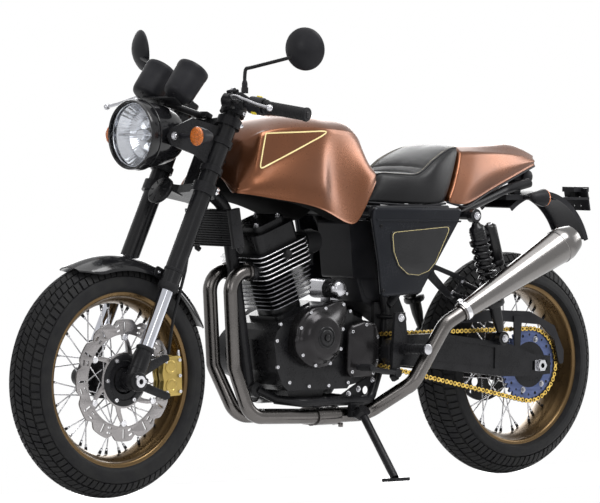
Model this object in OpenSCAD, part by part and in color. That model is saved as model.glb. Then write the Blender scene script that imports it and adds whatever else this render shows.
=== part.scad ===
// Motorcycle: air-cooled single-cylinder cafe racer, parked on its side stand.
// Everything is drawn upright in the bike frame (X forward, Y to the rider's left, Z up,
// X = 0 half way between the axles, Z = 0 at the ground) and then leaned as it parks.

/* [Layout] */
// Distance between the two axles
wheelbase = 1430; // [1380:5:1480]
// Rake of the steering axis from the vertical, in degrees
rake = 25; // [23:0.5:27]
// Distance of the fork legs ahead of the steering axis
fork_offset = 40; // [36:1:44]
// Lean to the left on the side stand, in degrees
lean = 6; // [5:0.5:8]

/* [Wheels] */
// Outer radius of the front tyre
front_tyre_r = 308; // [300:1:312]
// Radius of the front tyre's round section
front_crown_r = 61; // [57:1:63]
// Outer radius of the rear tyre
rear_tyre_r = 312; // [306:1:318]
// Radius of the rear tyre's round section
rear_crown_r = 77; // [72:1:78]
// Radius of the rims at the flange edge
rim_r = 232; // [228:1:236]
// Half width of the front rim
front_rim_w = 48; // [44:1:50]
// Half width of the rear rim
rear_rim_w = 62; // [58:1:64]
// Spokes in each wheel
spoke_count = 36; // [32:4:40]
// Radius of a spoke
spoke_r = 1.8; // [1.5:0.1:2.2]
// Bore radius of the hollow axles
axle_bore_r = 7; // [5:0.5:8]
// Outer radius of the hollow axles
axle_r = 11; // [10:0.5:12]

/* [Front end] */
// Half distance between the fork legs
fork_half = 100; // [97:1:104]
// Radius of the black outer fork tubes
fork_outer_r = 25; // [23:0.5:27]
// Radius of the bright sliding tubes
fork_inner_r = 19; // [17:0.5:21]
// Length from the axle to the top of the fork
fork_top = 792; // [785:1:800]
// Radius of the headlamp bezel
lamp_r = 91; // [85:1:95]
// Radius of a gauge pod
gauge_r = 44; // [40:1:48]
// Radius of a mirror head
mirror_r = 56; // [50:1:60]
// Radius of the handlebar tube
bar_r = 11; // [10.5:0.1:11.5]
// Radius of the front brake disc
front_disc_r = 158; // [150:1:160]

/* [Drive] */
// Teeth on the rear sprocket
rear_teeth = 40; // [40:4:40]
// Teeth on the front sprocket
front_teeth = 15; // [15:1:15]
// Chain pitch
chain_pitch = 15.875; // [15.875:0.001:15.875]
// Distance of the chain from the middle plane
chain_y = 98; // [97:1:100]

/* [Bodywork] */
// Wall of the seat cowl, side panels and mudguards
panel_t = 4; // [3:0.5:5]
// Bolt circle of the number plate carrier
plate_pcd = 36; // [30:1:40]

/* [Hidden] */
$fn = 48;
clear = 0.3;            // gap between faces of pieces that only touch
run_gap = 0.3;          // running gap round the axles

front_x = wheelbase / 2;
rear_x = -wheelbase / 2;

// Where the parked machine stands: lifted so that the leaning rear tyre meets the ground,
// and centred between the edges of its two mirrors
mirror_at = [36, 332, 938];   // middle of a mirror, in the frame of the fork
park_lift = rear_crown_r * (1 - cos(lean));
park_shift = -fork_point(mirror_at[0], 0, mirror_at[2])[2] * sin(lean);

// Colours as seen
black = [0.05, 0.05, 0.06];
satin_black = [0.10, 0.10, 0.11];
bronze = [0.42, 0.20, 0.10];
rim_gold = [0.36, 0.28, 0.16];
gold = [0.70, 0.58, 0.20];
steel = [0.66, 0.66, 0.68];
alloy = [0.45, 0.45, 0.47];
amber = [0.95, 0.40, 0.05];

// Helper shapes

// Turns the Z axis on to direction v
module aim(v) {
    rotate([0, acos(v[2] / norm(v)), atan2(v[1], v[0])]) children();
}

// Round bar from a to b
module rod(a, b, r) {
    translate(a) aim(b - a) cylinder(h = norm(b - a), r = r);
}

// Bars through a list of points, with a ball at each inner corner
module rod_run(points, r) {
    for (i = [0 : len(points) - 2]) rod(points[i], points[i + 1], r);
    for (i = [1 : 1 : len(points) - 2]) translate(points[i]) sphere(r = r * 1.03);
}

function unit(v) = v / norm(v);

// Tube with round bends of radius bend at each inner point: straights run a little way into
// the bends, which are a hair thicker, as a bent tube is
module bent_tube(points, r, bend) {
    last = len(points) - 1;
    cut = [for (i = [0 : last])
        (i == 0 || i == last) ? 0
        : bend * tan(acos(unit(points[i] - points[i - 1]) * unit(points[i + 1] - points[i])) / 2)];
    for (i = [0 : last - 1]) {
        d = unit(points[i + 1] - points[i]);
        rod(points[i] + d * max(cut[i] - 1, 0), points[i + 1] - d * max(cut[i + 1] - 1, 0), r);
    }
    for (i = [1 : 1 : last - 1]) {
        d1 = unit(points[i] - points[i - 1]);
        d2 = unit(points[i + 1] - points[i]);
        turn = acos(d1 * d2);
        up = unit(cross(d1, d2));
        out = cross(d1, up);
        start = points[i] - d1 * cut[i];
        centre = start - out * bend;
        multmatrix([[out[0], d1[0], up[0], centre[0]], [out[1], d1[1], up[1], centre[1]],
            [out[2], d1[2], up[2], centre[2]], [0, 0, 0, 1]])
            rotate_extrude(angle = turn) translate([bend, 0]) circle(r = r + 0.15);
    }
}

// Closed skin through equal rings of points, one ring for each section
module loft(rings) {
    n = len(rings[0]);
    last = len(rings) - 1;
    polyhedron(
        points = [for (ring = rings) for (p = ring) p],
        faces = concat(
            [[for (i = [0 : n - 1]) i]],
            [for (s = [0 : last - 1]) for (i = [0 : n - 1]) let (j = (i + 1) % n)
                each [[s * n + i, (s + 1) * n + i, (s + 1) * n + j], [s * n + i, (s + 1) * n + j, s * n + j]]],
            [[for (i = [n - 1 : -1 : 0]) last * n + i]]));
}

// Whole ring from its left half, which runs from the top of the middle plane to the bottom
function both_sides(half) = concat(half,
    [for (i = [len(half) - 2 : -1 : 1]) [half[i][0], -half[i][1], half[i][2]]]);

// Plate of a flat outline [x, z], standing in the XZ plane from y0 to y1
module side_plate(y0, y1) {
    translate([0, y1, 0]) rotate([90, 0, 0]) linear_extrude(y1 - y0) children();
}

// Rounded 2D bar between two points
module link_2d(a, b, ra, rb) {
    hull() {
        translate(a) circle(r = ra);
        translate(b) circle(r = rb);
    }
}

// Copies on the left and on the right
module pair() {
    children();
    mirror([0, 1, 0]) children();
}

// Parked pose, and the frame of the fork: origin on the front axle, Z up the legs
module parked() {
    translate([0, park_shift, park_lift]) rotate([-lean, 0, 0]) children();
}
module on_fork() {
    translate([front_x, 0, front_tyre_r]) rotate([0, -rake, 0]) children();
}
module at_front() {
    translate([front_x, 0, front_tyre_r]) children();
}
module at_rear() {
    translate([rear_x, 0, rear_tyre_r]) children();
}
// Turns the Z axis on to the wheel axis (Y)
module across() {
    rotate([-90, 0, 0]) children();
}

// Frame

head_low = 560;          // foot of the head tube, up the fork from the axle
head_high = 716;         // top of the head tube
head_r = 27;
stem_r = 15;
tube_r = 15;
rail_y = 118;            // seat rails from the middle plane
rail_z = 728;
function fork_point(x, y, s) = [front_x + x * cos(rake) - s * sin(rake), y,
    front_tyre_r + x * sin(rake) + s * cos(rake)];
head_mid = fork_point(-fork_offset, 0, (head_low + head_high) / 2);
head_foot = fork_point(-fork_offset, 0, head_low + 24);
spine_end = [-96, 0, 742];
pivot = [-168, 0, 362];   // swingarm pivot
down_end = [238, 0, 272];

cross_x = spine_end[0] + 12;
cross_r = 17;
spine_r = 21;
module cross_tube(extra) {
    rod([cross_x, -rail_y - tube_r, spine_end[2]], [cross_x, rail_y + tube_r, spine_end[2]], cross_r + extra);
}
foot_tube_r = 20;
down_r = 18;
module foot_tube(extra) {
    rod([down_end[0] - 7, -30, down_end[2] - 6], [down_end[0] - 7, 30, down_end[2] - 6], foot_tube_r + extra);
}
module frame_spine() color(black) {
    difference() {
        union() {
            on_fork() translate([-fork_offset, 0, head_low]) cylinder(h = head_high - head_low, r = head_r);
            rod(head_mid, spine_end, spine_r);
            bent_tube([head_foot, [325, 0, 754], down_end], down_r, 90);
            cross_tube(0);
            // pads that the tank rests on
            rod([262, -34.6, spine_z(262)], [262, 34.6, spine_z(262)], 9);
        }
        on_fork() translate([-fork_offset, 0, head_low - 5])
            cylinder(h = head_high - head_low + 10, r = stem_r + run_gap);
        foot_tube(clear);
    }
}

cradle_y = 92;
cradle_z = 232;
cradle_r = 12.5;
upright_y = 68;          // uprights run inside the chain
plate_y = 56;
plate_t = 12;
module cradle_tubes(extra) {
    pair() bent_tube([[180, 40, cradle_z + 8], [120, cradle_y, cradle_z], [-120, cradle_y, cradle_z],
        [-180, upright_y, 330], [-192, upright_y, 470], [-116, rail_y - 6, 700], [-98, rail_y, 736]], cradle_r + extra, 34);
}
stand_pivot = [-62, 124, 200];
stand_axis = unit([-0.06, 0.67, 0.74]);
module frame_cradle() color(black) difference() {
    union() {
        cradle_tubes(0);
        foot_tube(0);
        pair() rod([down_end[0] - 12, 24, down_end[2] - 6], [174, 45, cradle_z + 7], 12);
        rod([-100, -cradle_y, cradle_z], [-100, cradle_y, cradle_z], 11);
        rod([pivot[0], -plate_y - plate_t, pivot[2]], [pivot[0], plate_y + plate_t, pivot[2]], 21);
        pair() translate([0, plate_y, 0]) side_plate(0, plate_t)
            polygon([[-226, 494], [-152, 494], [-154, 330], [-140, 300], [-204, 300], [-214, 316]]);
        // lug of the side stand
        translate([stand_pivot[0] - 24, cradle_y + 1, stand_pivot[2] - 12]) cube([48, 12, 38]);
        rod(stand_pivot - [0, 26, 4], stand_pivot - stand_axis * 10, 12);
    }
    rod([pivot[0], -101, pivot[2]], [pivot[0], 101, pivot[2]], 9);
    seat_rail_tubes(clear);
    cross_tube(clear);
    translate(stand_pivot) aim(stand_axis) translate([0, 0, -12 - clear]) cylinder(h = 60, r = 26);
}

shock_y = 160;
shock_top = [-434, shock_y, 731];
shock_foot = [-549, shock_y, 392];
rail_r = 13;
module seat_rail_tubes(extra) {
    pair() bent_tube([[-78, rail_y, rail_z + 14], [-380, rail_y, rail_z], [-640, 70, 800], [-735, 70, 820]], rail_r + extra, 60);
}
module seat_rail_struts(extra) {
    pair() rod([-190, upright_y + 14, 486], [-392, rail_y + 4, rail_z - 8], 11 + extra);
}
module seat_rails() color(black) difference() {
    union() {
        seat_rail_tubes(0);
        seat_rail_struts(0);
        pair() {
            rod([shock_top[0], rail_y - 10, shock_top[2]], [shock_top[0], shock_y - 11 - clear, shock_top[2]], 12);
        }
        rod([-340, -rail_y, rail_z], [-340, rail_y, rail_z], 10);
        pair() translate([-340, 60, rail_z]) cylinder(h = 34.6, r = 8);
        rod([-640, -70, 800], [-640, 70, 800], 10);
    }
    cross_tube(clear);
    cradle_tubes(clear);
    pair() translate([0, plate_y, 0]) side_plate(-1, plate_t + clear) polygon([[-240, 500], [-140, 500], [-140, 400], [-240, 400]]);
}

// Engine

cases_y = 98;            // half width of the crankcases
lean_fwd = 20;           // forward tilt of the cylinder
barrel_foot = [128, 0, 470];
module on_barrel() {
    translate(barrel_foot) rotate([0, lean_fwd, 0]) children();
}

gearbox_y = 80;
module engine_cases() color(satin_black) {
    side_plate(-cases_y, cases_y)
        polygon([[220, 318], [234, 400], [222, 426], [206, deck_z(206)], [46, deck_z(46)], [30, 486],
            [-46, 474], [-46, 284], [-30, 266], [182, 266], [200, 280]]);
    side_plate(-gearbox_y, gearbox_y)
        polygon([[-20, 476], [-96, 452], [-132, 420], [-142, 392], [-142, 344], [-128, 312], [-96, 280], [-20, 268]]);
    // output shaft with its sprocket
    rod([front_sprocket[0], gearbox_y - 1, front_sprocket[2]], front_sprocket + [0, 8, 0], 14);
    rod(front_sprocket - [0, 3, 0], front_sprocket + [0, 3, 0], front_pitch_r - 2 - clear);
    side_plate(-46, 46) polygon([[4, 268], [14, 238], [28, 230], [118, 230], [132, 240], [140, 268]]);
}
// Height of the crankcase deck that carries the barrel
function deck_z(x) = barrel_foot[2] - (x - barrel_foot[0]) * tan(lean_fwd);

fin_pitch = 12.5;
fin_t = 3.2;
barrel_fins = 7;
module engine_barrel() color(satin_black) on_barrel() {
    translate([0, 0, clear]) cylinder(h = head_z - clear, r = 58);
    translate([0, 0, clear]) linear_extrude(12) offset(r = 20) square([84, 96], center = true);
    for (i = [0 : barrel_fins - 1]) translate([0, 0, 34 + i * fin_pitch])
        linear_extrude(fin_t) offset(r = 26) square([92 + 5 * i, 96 + 3 * i], center = true);
}

head_z = 34 + barrel_fins * fin_pitch;
head_fins = 6;
module engine_head() color(satin_black) on_barrel() {
    translate([0, 0, head_z + clear]) {
        linear_extrude(head_fins * fin_pitch + 8) offset(r = 18) square([104, 112], center = true);
        for (i = [0 : head_fins - 1]) translate([0, 0, 2 + i * fin_pitch])
            linear_extrude(fin_t) offset(r = 26) square([124, 128], center = true);
        translate([0, 0, head_fins * fin_pitch + 6]) linear_extrude(40) offset(r = 26) square([92, 104], center = true);
        translate([0, 0, head_fins * fin_pitch + 44]) linear_extrude(20) offset(r = 20) square([66, 84], center = true);
        for (y = [-port_y, port_y]) translate([60, y, 22]) rotate([0, 74, 0]) cylinder(h = port_long, r = 25);
        translate([-60, 0, 36]) rotate([0, -80, 0]) cylinder(h = 40, r = 27);
    }
}
port_y = 42;
port_long = 44;

cover_at = [98, 0, 408];
module left_engine_cover() color(alloy) translate([0, cases_y + clear, 0]) {
    side_plate(0, 34) offset(r = 18) offset(delta = -18) union() {
        translate([cover_at[0], cover_at[2]]) circle(r = 84);
        polygon([[60, 470], [30, 506], [-6, 496], [4, 430], [10, 380], [60, 330]]);
        polygon([[180, 420], [178, 372], [90, 318], [70, 330]]);
    }
    translate([cover_at[0], 33, cover_at[2]]) across() {
        cylinder(h = 20, r1 = 70, r2 = 56);
        translate([0, 0, 19]) cylinder(h = 6, r = 27);
        translate([0, 0, 24]) cylinder(h = 4, r = 12);
    }
}

module right_engine_cover() color(satin_black) mirror([0, 1, 0]) translate([0, cases_y + clear, 0]) {
    side_plate(0, 40) offset(r = 18) union() {
        translate([60, 386]) circle(r = 88);
        translate([165, 360]) circle(r = 52);
        translate([100, 330]) square([120, 60], center = true);
    }
    translate([60, 39, 386]) across() cylinder(h = 12, r1 = 78, r2 = 66);
}

front_sprocket = [-104, chain_y, 372];
module sprocket_cover() color(satin_black) {
    side_plate(chain_y + 12, chain_y + 30)
        polygon([[-22, 296], [-12, 316], [-12, 418], [-24, 436], [-70, 450], [-112, 442], [-130, 412], [-130, 332], [-106, 294]]);
    for (z = [306, 424]) rod([-34, cases_y + clear, z], [-34, chain_y + 14, z], 7);
}

deck_rear = 483.3;
module starter_motor() color(steel) {
    translate([-2, 38, 533]) rotate([90, 0, 0]) {
        cylinder(h = 100, r = 27, center = true);
        translate([0, 0, -56]) cylinder(h = 16, r1 = 18, r2 = 26, center = true);
    }
    translate([-16, 30, deck_rear + clear]) cube([28, 44, 40]);
}

module intake() color(black) {
    intake_from = barrel_foot + (head_z + 36) * [sin(lean_fwd), 0, cos(lean_fwd)] - 110.4 * [cos(lean_fwd), 0, -sin(lean_fwd)];
    rod(intake_from, intake_from + [-72, 0, 4], 29);
    rod(intake_from + [-20, 0, 1], intake_from + [-56, 0, 3], 34);
    translate(intake_from + [-40, 0, -30]) cylinder(h = 60, r = 20, center = true);
}

module oil_cooler() color(black) {
    translate([363, 0, 698]) rotate([0, 10.3, 0]) {
        for (i = [0 : 7]) translate([0, 0, -45.5 + i * 13]) cube([34, 166, 6], center = true);
        pair() translate([0, 86, 0]) cube([36, 14, 104], center = true);
        cube([22, 164, 96], center = true);
        // brackets on both sides of the down tube
        pair() translate([-26, down_r + 5 + clear, 0]) cube([40, 9, 60], center = true);
    }
}

// Exhaust

header_r = 19;
head_front = barrel_foot + (head_z + clear + 22) * [sin(lean_fwd), 0, cos(lean_fwd)]
    + 60 * [cos(lean_fwd), 0, -sin(lean_fwd)];
port_dir = [sin(lean_fwd + 74), 0, cos(lean_fwd + 74)];
port_face = port_long + clear;
module exhaust_headers() color(steel) {
    for (side = [-1, 1]) {
        at = head_front + [0, side * port_y, 0] + port_dir * port_face;
        bent_tube([at, at + port_dir * 66, [324, side * port_y, 330], [285, side * 28 + 36, 198],
            [60, side * 22 + 58, 192]], header_r, 52);
        rod(at, at + port_dir * 8, 23);
    }
    translate([70, 58, 192]) rotate([0, -90, 0]) linear_extrude(80) link_2d([0, -22], [0, 22], 23, 23);
    bent_tube([[-4, 60, 192], [-126, 70, 194], [-200, 176, 280], silencer_from - silencer_dir * 75, silencer_from - silencer_dir * 2], 20.5, 60);
    rod([-14, 61, 192], [-24, 62, 192], 26);
}

silencer_from = [-352, 214, 474];
silencer_to = [-728, 250, 672];
silencer_dir = unit(silencer_to - silencer_from);
module silencer() color(steel) {
    long = norm(silencer_to - silencer_from);
    difference() {
        union() {
            translate(silencer_from) aim(silencer_to - silencer_from) rotate_extrude()
                polygon([[0, -14], [25, -14], [26, 22], [47, long - 52], [48, long - 40], [36, long], [0, long]]);
            // hanger plate on the frame, with two studs
            side_plate(hanger_y, hanger_y + 6)
                polygon([[-264, 584], [-270, 602], [-292, 606], [-440, 560], [-436, 532], [-384, 498], [-366, 506]]);
            rod([-388, hanger_y + 3, 516], [-388, silencer_from[1], 500], 7);
            rod([-426, hanger_y + 3, 546], [-426, silencer_from[1], 520], 7);
        }
        translate(silencer_from) aim(silencer_to - silencer_from) {
            translate([0, 0, long - 60]) cylinder(h = 70, r = 23);
            translate([0, 0, -15]) cylinder(h = 24, r = 20.5 + 0.15 + clear);
        }
        seat_rail_struts(clear);
    }
}
hanger_y = 124;

// Bodywork

// Fuel tank: one row for each section across the machine
// [x, crown z, crease half width, crease z, side half width, side z, edge half width, edge z]
tank_rows = [
    [344, 902, 44, 898, 58, 872, 56, 826],
    [320, 946, 74, 938, 104, 884, 104, 800],
    [262, 973, 106, 959, 144, 858, 144, 775],
    [176, 985, 117, 962, 160, 838, 160, 762],
    [128, 987, 119, 960, 161, 824, 161, 750],
    [92, 987, 118, 959, 147, 812, 156, 736],
    [40, 984, 112, 958, 139, 812, 153, 716],
    [-4, 981, 104, 958, 136, 816, 148, 702],
    [-58, 972, 88, 948, 131, 832, 138, 770],
    [-92, 934, 78, 908, 124, 846, 128, 808],
    [-116, 880, 62, 866, 112, 850, 112, 832]];
// Roof of the tunnel over the spine tube, and the floor beside it
function spine_z(x) = spine_end[2] + (x - spine_end[0]) * (head_mid[2] - spine_end[2]) / (head_mid[0] - spine_end[0]);
function tunnel_z(t) = min(max(spine_z(t[0]) + spine_r + 14, t[7] + 4), t[1] - 16);
function tank_ring(t) = both_sides([[t[0], 0, t[1]], [t[0], t[2] * 0.6, t[1] - (t[1] - t[3]) * 0.3],
    [t[0], t[2], t[3]], [t[0], (t[2] + t[4]) / 2 + 2, (t[3] + t[5]) / 2], [t[0], t[4], t[5]],
    [t[0], (t[4] + t[6]) / 2 + 2, (t[5] + t[7]) / 2], [t[0], t[6], t[7]], [t[0], t[6] - 14, t[7] - 3],
    [t[0], 42, t[7] + 2], [t[0], 32, tunnel_z(t)], [t[0], 0, tunnel_z(t) + 2]]);
module fuel_tank() color(bronze) loft([for (t = tank_rows) tank_ring(t)]);

cap_at = [150, 0, 987];
module fuel_cap() color(alloy) translate([cap_at[0], 0, cap_at[2] + clear]) {
    cylinder(h = 8, r = 38);
    translate([0, 0, 7]) cylinder(h = 4, r1 = 34, r2 = 28);
}

// Seat: [x at the seat base, x at the top, base z, top z, half width at base, half width at top]
seat_rows = [
    [-94, -142, 770, 838, 84, 74],
    [-126, -158, 768, 848, 104, 92],
    [-200, -204, 764, 846, 128, 112],
    [-268, -268, 762, 848, 138, 120],
    [-302, -330, 762, 888, 140, 118],
    [-330, -396, 764, 918, 138, 104],
    [-352, -446, 770, 924, 132, 88]];
function seat_ring(t) = both_sides([
    for (k = [[1.03, 0], [1, 0.7], [0.96, 1], [0.8, 1.02], [0.3, 0], [0, 0]])
        k[0] == 0.3 ? [t[0] * 0.7 + t[1] * 0.3, t[4], t[2] * 0.7 + t[3] * 0.3]
        : k[0] == 0 ? [t[0], t[4], t[2]]
        : [t[0] + (t[1] - t[0]) * k[0], t[5] * k[1], t[2] + (t[3] - t[2]) * k[0]],
    [t[0] - (t[1] - t[0]) * 0.03, 0, t[2] - (t[3] - t[2]) * 0.03]]);
module seat() color(black) loft([for (t = seat_rows) seat_ring(t)]);

// Tail cowl, sloping back: [x at the edge, x at the ridge, edge z, ridge z, edge half width, shoulder half width, shoulder z]
cowl_rows = [
    [-358, -462, 766, 925, 141, 100, 902],
    [-430, -540, 760, 926, 138, 98, 902],
    [-520, -620, 790, 929, 112, 86, 900],
    [-640, -700, 828, 932, 82, 68, 896],
    [-740, -766, 858, 918, 54, 48, 892],
    [-790, -812, 870, 892, 36, 32, 886]];
function cowl_ring(t) = both_sides([[t[1], 0, t[3]], [t[1] + 10, t[5] * 0.55, (t[3] + t[6]) / 2 + 6],
    [t[1] + 26, t[5], t[6]], [(t[0] + t[1]) / 2 + 8, (t[4] + t[5]) / 2 + 4, (t[2] + t[6]) / 2],
    [t[0], t[4], t[2]], [t[0], t[4] - 30, t[2] + 8], [t[0], 0, t[2] + 12]]);
module tail_cowl() color(bronze) loft([for (t = cowl_rows) cowl_ring(t)]);

blade_r = 194;
blade_at = [-796, 599];
tray_half = 70;
tray_z = 787;
plate_tilt = 12;
tail_end = -(front_x + front_tyre_r);
module rear_mudguard() color(black) {
    // tray under the rails, post of the tail lamp, and the curved blade behind them
    translate([-762, -tray_half, tray_z - 15]) cube([116, 2 * tray_half, 15]);
    translate([-758, -14, tray_z - 1]) cube([24, 28, lamp_base - clear - tray_z + 1]);
    intersection() {
        translate([blade_at[0], 0, blade_at[1]]) across() rotate_extrude($fn = 96) difference() {
            translate([blade_r - 10, -62]) square([14, 124]);
            translate([blade_r - 14, -62 + panel_t]) square([14, 124 - 2 * panel_t]);
        }
        translate([0, 0, blade_at[1]]) side_plate(-70, 70)
            polygon([[blade_at[0], 0], [-640, 190], [-796, 300], [-1100, 240], [-1100, 98]]);
    }
    difference() {
        union() {
            translate([tail_end + 20, -46, 772]) cube([150, 92, 7]);
            translate([tail_end + 14, -46, 742]) rotate([0, plate_tilt, 0]) translate([0, 0, 0]) cube([5, 92, 64]);
            translate([tail_end, -24, 794]) cube([60, 48, 14]);
            translate([tail_end + 30, -8, 770]) cube([10, 16, 30]);
        }
        translate([tail_end + 14, 0, 742]) rotate([0, plate_tilt, 0]) for (a = [45 : 90 : 315])
            translate([-10, plate_pcd / 2 * cos(a), 26 + plate_pcd / 2 * sin(a)]) rotate([0, 90, 0]) cylinder(h = 22, r = 3.2);
    }
}

lamp_base = 824;
module tail_lamp() color([0.5, 0.02, 0.02]) translate([-772, 0, lamp_base + 13]) {
    rotate([90, 0, 0]) cylinder(h = 62, r = 19, center = true);
    translate([24, 0, 0]) cube([48, 40, 26], center = true);
}

// Indicator pointing along -X or +X: stem out of the middle, round body, lens
module indicator(face) {
    color(black) rotate([90, 0, 0]) cylinder(h = 52, r = 6, center = true);
    translate([0, 44, 0]) rotate([0, face * 90, 0]) {
        color(black) translate([0, 0, -44]) cylinder(h = 48, r1 = 11, r2 = 25);
        color(amber) translate([0, 0, 3]) cylinder(h = 10, r1 = 25, r2 = 19);
    }
}
module rear_indicators() pair() translate([-718, tray_half + 26 + clear, tray_z - 7.5]) indicator(-1);

panel_y = 146;
module panel_outline() offset(r = 14) offset(delta = -14)
    polygon([[-58, 722], [-378, 716], [-236, 520], [-96, 512], [-84, 600]]);
module left_side_panel() color(satin_black) translate([0, panel_y, 0]) {
    difference() {
        side_plate(0, 16) panel_outline();
        translate([0, -1, 0]) side_plate(0, 13) offset(delta = -panel_t) panel_outline();
    }
    side_plate(15, 20) intersection() {
        offset(delta = -10) panel_outline();
        translate([-206, 652]) scale(1) union() {
            circle(r = 84);
            translate([-84, 0]) square([168, 84]);
        }
    }
}
module right_side_panel() mirror([0, 1, 0]) left_side_panel();

box_y = 64;
module battery_box() color(black) difference() {
    union() {
    side_plate(-box_y, box_y) offset(r = 10) polygon([[-70, 706], [-320, 702], [-240, 570], [-86, 570]]);
    pair() for (p = [[-150, 690, 24], [-300, 690, 18]]) {
        translate([p[0], box_y - 1, p[1]]) across() cylinder(h = panel_y + 12 - clear - box_y + 1, r = 7);
        translate([p[0] - 12, box_y - 2, p[1] - 8]) cube([24, rail_y - box_y + 2, p[2] + 8 + 9.5]);
    }
    }
    seat_rail_tubes(clear);
    cradle_tubes(clear);
}

// Rear suspension and drive

spring_turns = 9;
module shock() {
    axis = shock_foot - shock_top;
    long = norm(axis);
    translate(shock_top) aim(axis) {
        rotate([0, 0, 0]) {
            translate([0, 0, 32]) cylinder(h = 60, r = 22);
            translate([0, 0, 90]) cylinder(h = long - 120, r = 12);
            translate([0, 0, long - 110]) cylinder(h = 16, r = 30);
            translate([0, 0, long - 96]) cylinder(h = 66, r = 16);
            for (i = [0 : spring_turns - 1]) translate([0, 0, 74 + i * (long - 190) / (spring_turns - 1)])
                rotate([0, 4, 0]) rotate_extrude() translate([23, 0]) circle(r = 5.2);
            translate([0, 0, 78]) cylinder(h = long - 198, r = 18.6);
        }
    }
    for (p = [shock_top, shock_foot]) rod(p - [0, 11, 0], p + [0, 11, 0], 19);
    for (p = [[shock_top, 1], [shock_foot, -1]]) rod(p[0], p[0] + unit(axis) * 36 * p[1], 10.5);
    // remote reservoir behind the body
    top = shock_top + unit(axis) * 34 + [-48, 0, 6];
    rod(top, top + unit(axis) * 118, 19);
    rod(top + unit(axis) * 20, shock_top + unit(axis) * 50, 10);
}
module left_shock() color(black) shock();
module right_shock() color(black) mirror([0, 1, 0]) shock();

arm_y = 114;
arm_t = 30;
module swingarm() color(satin_black) {
    difference() {
        union() {
            pair() translate([0, arm_y, 0]) side_plate(0, arm_t)
                polygon([[-148, 330], [-136, 346], [-136, 378], [-148, 396], [-200, 408], [-330, 410], [-470, 392], [-600, 374],
                    [-690, 344], [rear_x - 42, 338], [rear_x - 42, 288], [-690, 282], [-560, 286], [-330, 312]]);
            translate([-330, 0, 362]) cube([62, 2 * arm_y + 10, 62], center = true);
            rod([pivot[0], -arm_y - 8, pivot[2]], [pivot[0], arm_y + 8, pivot[2]], 8.5);
            pair() rod([pivot[0], upright_y + cradle_r + 0.8, pivot[2]], [pivot[0], arm_y + 2, pivot[2]], 19);
        }
        at_rear() across() cylinder(h = 400, r = axle_r + clear, center = true);
        pair() at_rear() translate([0, arm_y + arm_t / 2, 0]) cube([58, arm_t + 2, 26], center = true);
        pair() translate([0, arm_y + arm_t - 4, 0]) side_plate(0, 6) polygon([[-540, 308], [-540, 366], [-420, 384], [-240, 394], [-240, 336], [-340, 330]]);
    }
    pair() at_rear() translate([0, arm_y + arm_t / 2, 0]) difference() {
        cube([40, arm_t - 2, 25.4], center = true);
        rotate([90, 0, 0]) cylinder(h = 60, r = axle_r + clear, center = true);
    }
    pair() rod([shock_foot[0], arm_y + arm_t - 2, shock_foot[2]], [shock_foot[0], shock_y - 11 - clear, shock_foot[2]], 12);
    pair() side_plate(arm_y + 6, arm_y + arm_t - 4) translate([shock_foot[0], shock_foot[2] - 10]) circle(r = 26);
}

rear_pitch_r = chain_pitch / (2 * sin(180 / rear_teeth));
front_pitch_r = chain_pitch / (2 * sin(180 / front_teeth));
module chain_path(extra) {
    a = [rear_x, rear_tyre_r];
    b = [front_sprocket[0], front_sprocket[2]];
    hull() {
        translate(a) circle(r = rear_pitch_r + extra, $fn = 96);
        translate(b) circle(r = front_pitch_r + extra);
    }
}
plate_half = 6.5;
module chain() color(gold) {
    for (y = [chain_y - 9, chain_y + 5]) side_plate(y, y + 4) difference() {
        chain_path(plate_half);
        chain_path(-plate_half);
    }
    side_plate(chain_y - 6, chain_y + 6) difference() {
        chain_path(4.8);
        chain_path(-2);
    }
}

module chain_guard() color(satin_black) {
    side_plate(chain_y + 13, chain_y + 17.5) difference() {
        offset(r = 8) offset(delta = -8) polygon([[-330, 434], [-420, 462], [-560, 468], [-700, 462], [-800, 420], [-838, 350],
            [-838, 312], [-822, 312], [-800, 380], [-745, 424], [-600, 436]]);
    }
    side_plate(arm_y + 1, arm_y + 5) {
        polygon([[-392, 402.8 + clear], [-372, 405.3 + clear], [-366, 450], [-402, 456]]);
        polygon([[-662, 353.8 + clear], [-640, 361.2 + clear], [-636, 450], [-668, 450]]);
    }
    side_plate(chain_y - 13, chain_y + 14) polygon([[-400, 458], [-560, 468], [-700, 462], [-700, 458], [-560, 463], [-404, 453]]);
}

module rear_axle() color(steel) at_rear() across() difference() {
    union() {
        cylinder(h = 2 * (arm_y + arm_t) + 20, r = axle_r, center = true);
        pair_z() translate([0, 0, arm_y + arm_t + clear]) cylinder(h = 12, r = 17, $fn = 6);
    }
    cylinder(h = 400, r = axle_bore_r, center = true);
}
module pair_z() {
    children();
    mirror([0, 0, 1]) children();
}

rear_disc_y = -84;
rear_disc_t = 5;
rear_disc_r = 112;
module rear_caliper() color(black) at_rear() {
    difference() {
        rotate([0, -50, 0]) translate([74, rear_disc_y - 22, -34]) cube([62, 48, 68]);
        translate([0, rear_disc_y - 3, 0]) across() cylinder(h = rear_disc_t + 6, r = rear_disc_r + 5);
        across() cylinder(h = 400, r = 80, center = true);
    }
    // carrier on the axle
    difference() {
        union() {
            translate([0, -arm_y + clear, 0]) across() cylinder(h = 6, r = 24);
            rotate([0, -50, 0]) translate([0, -arm_y + clear, -16]) cube([100, 8, 32]);
        }
        across() cylinder(h = 400, r = axle_r + run_gap, center = true);
    }
}

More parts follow.
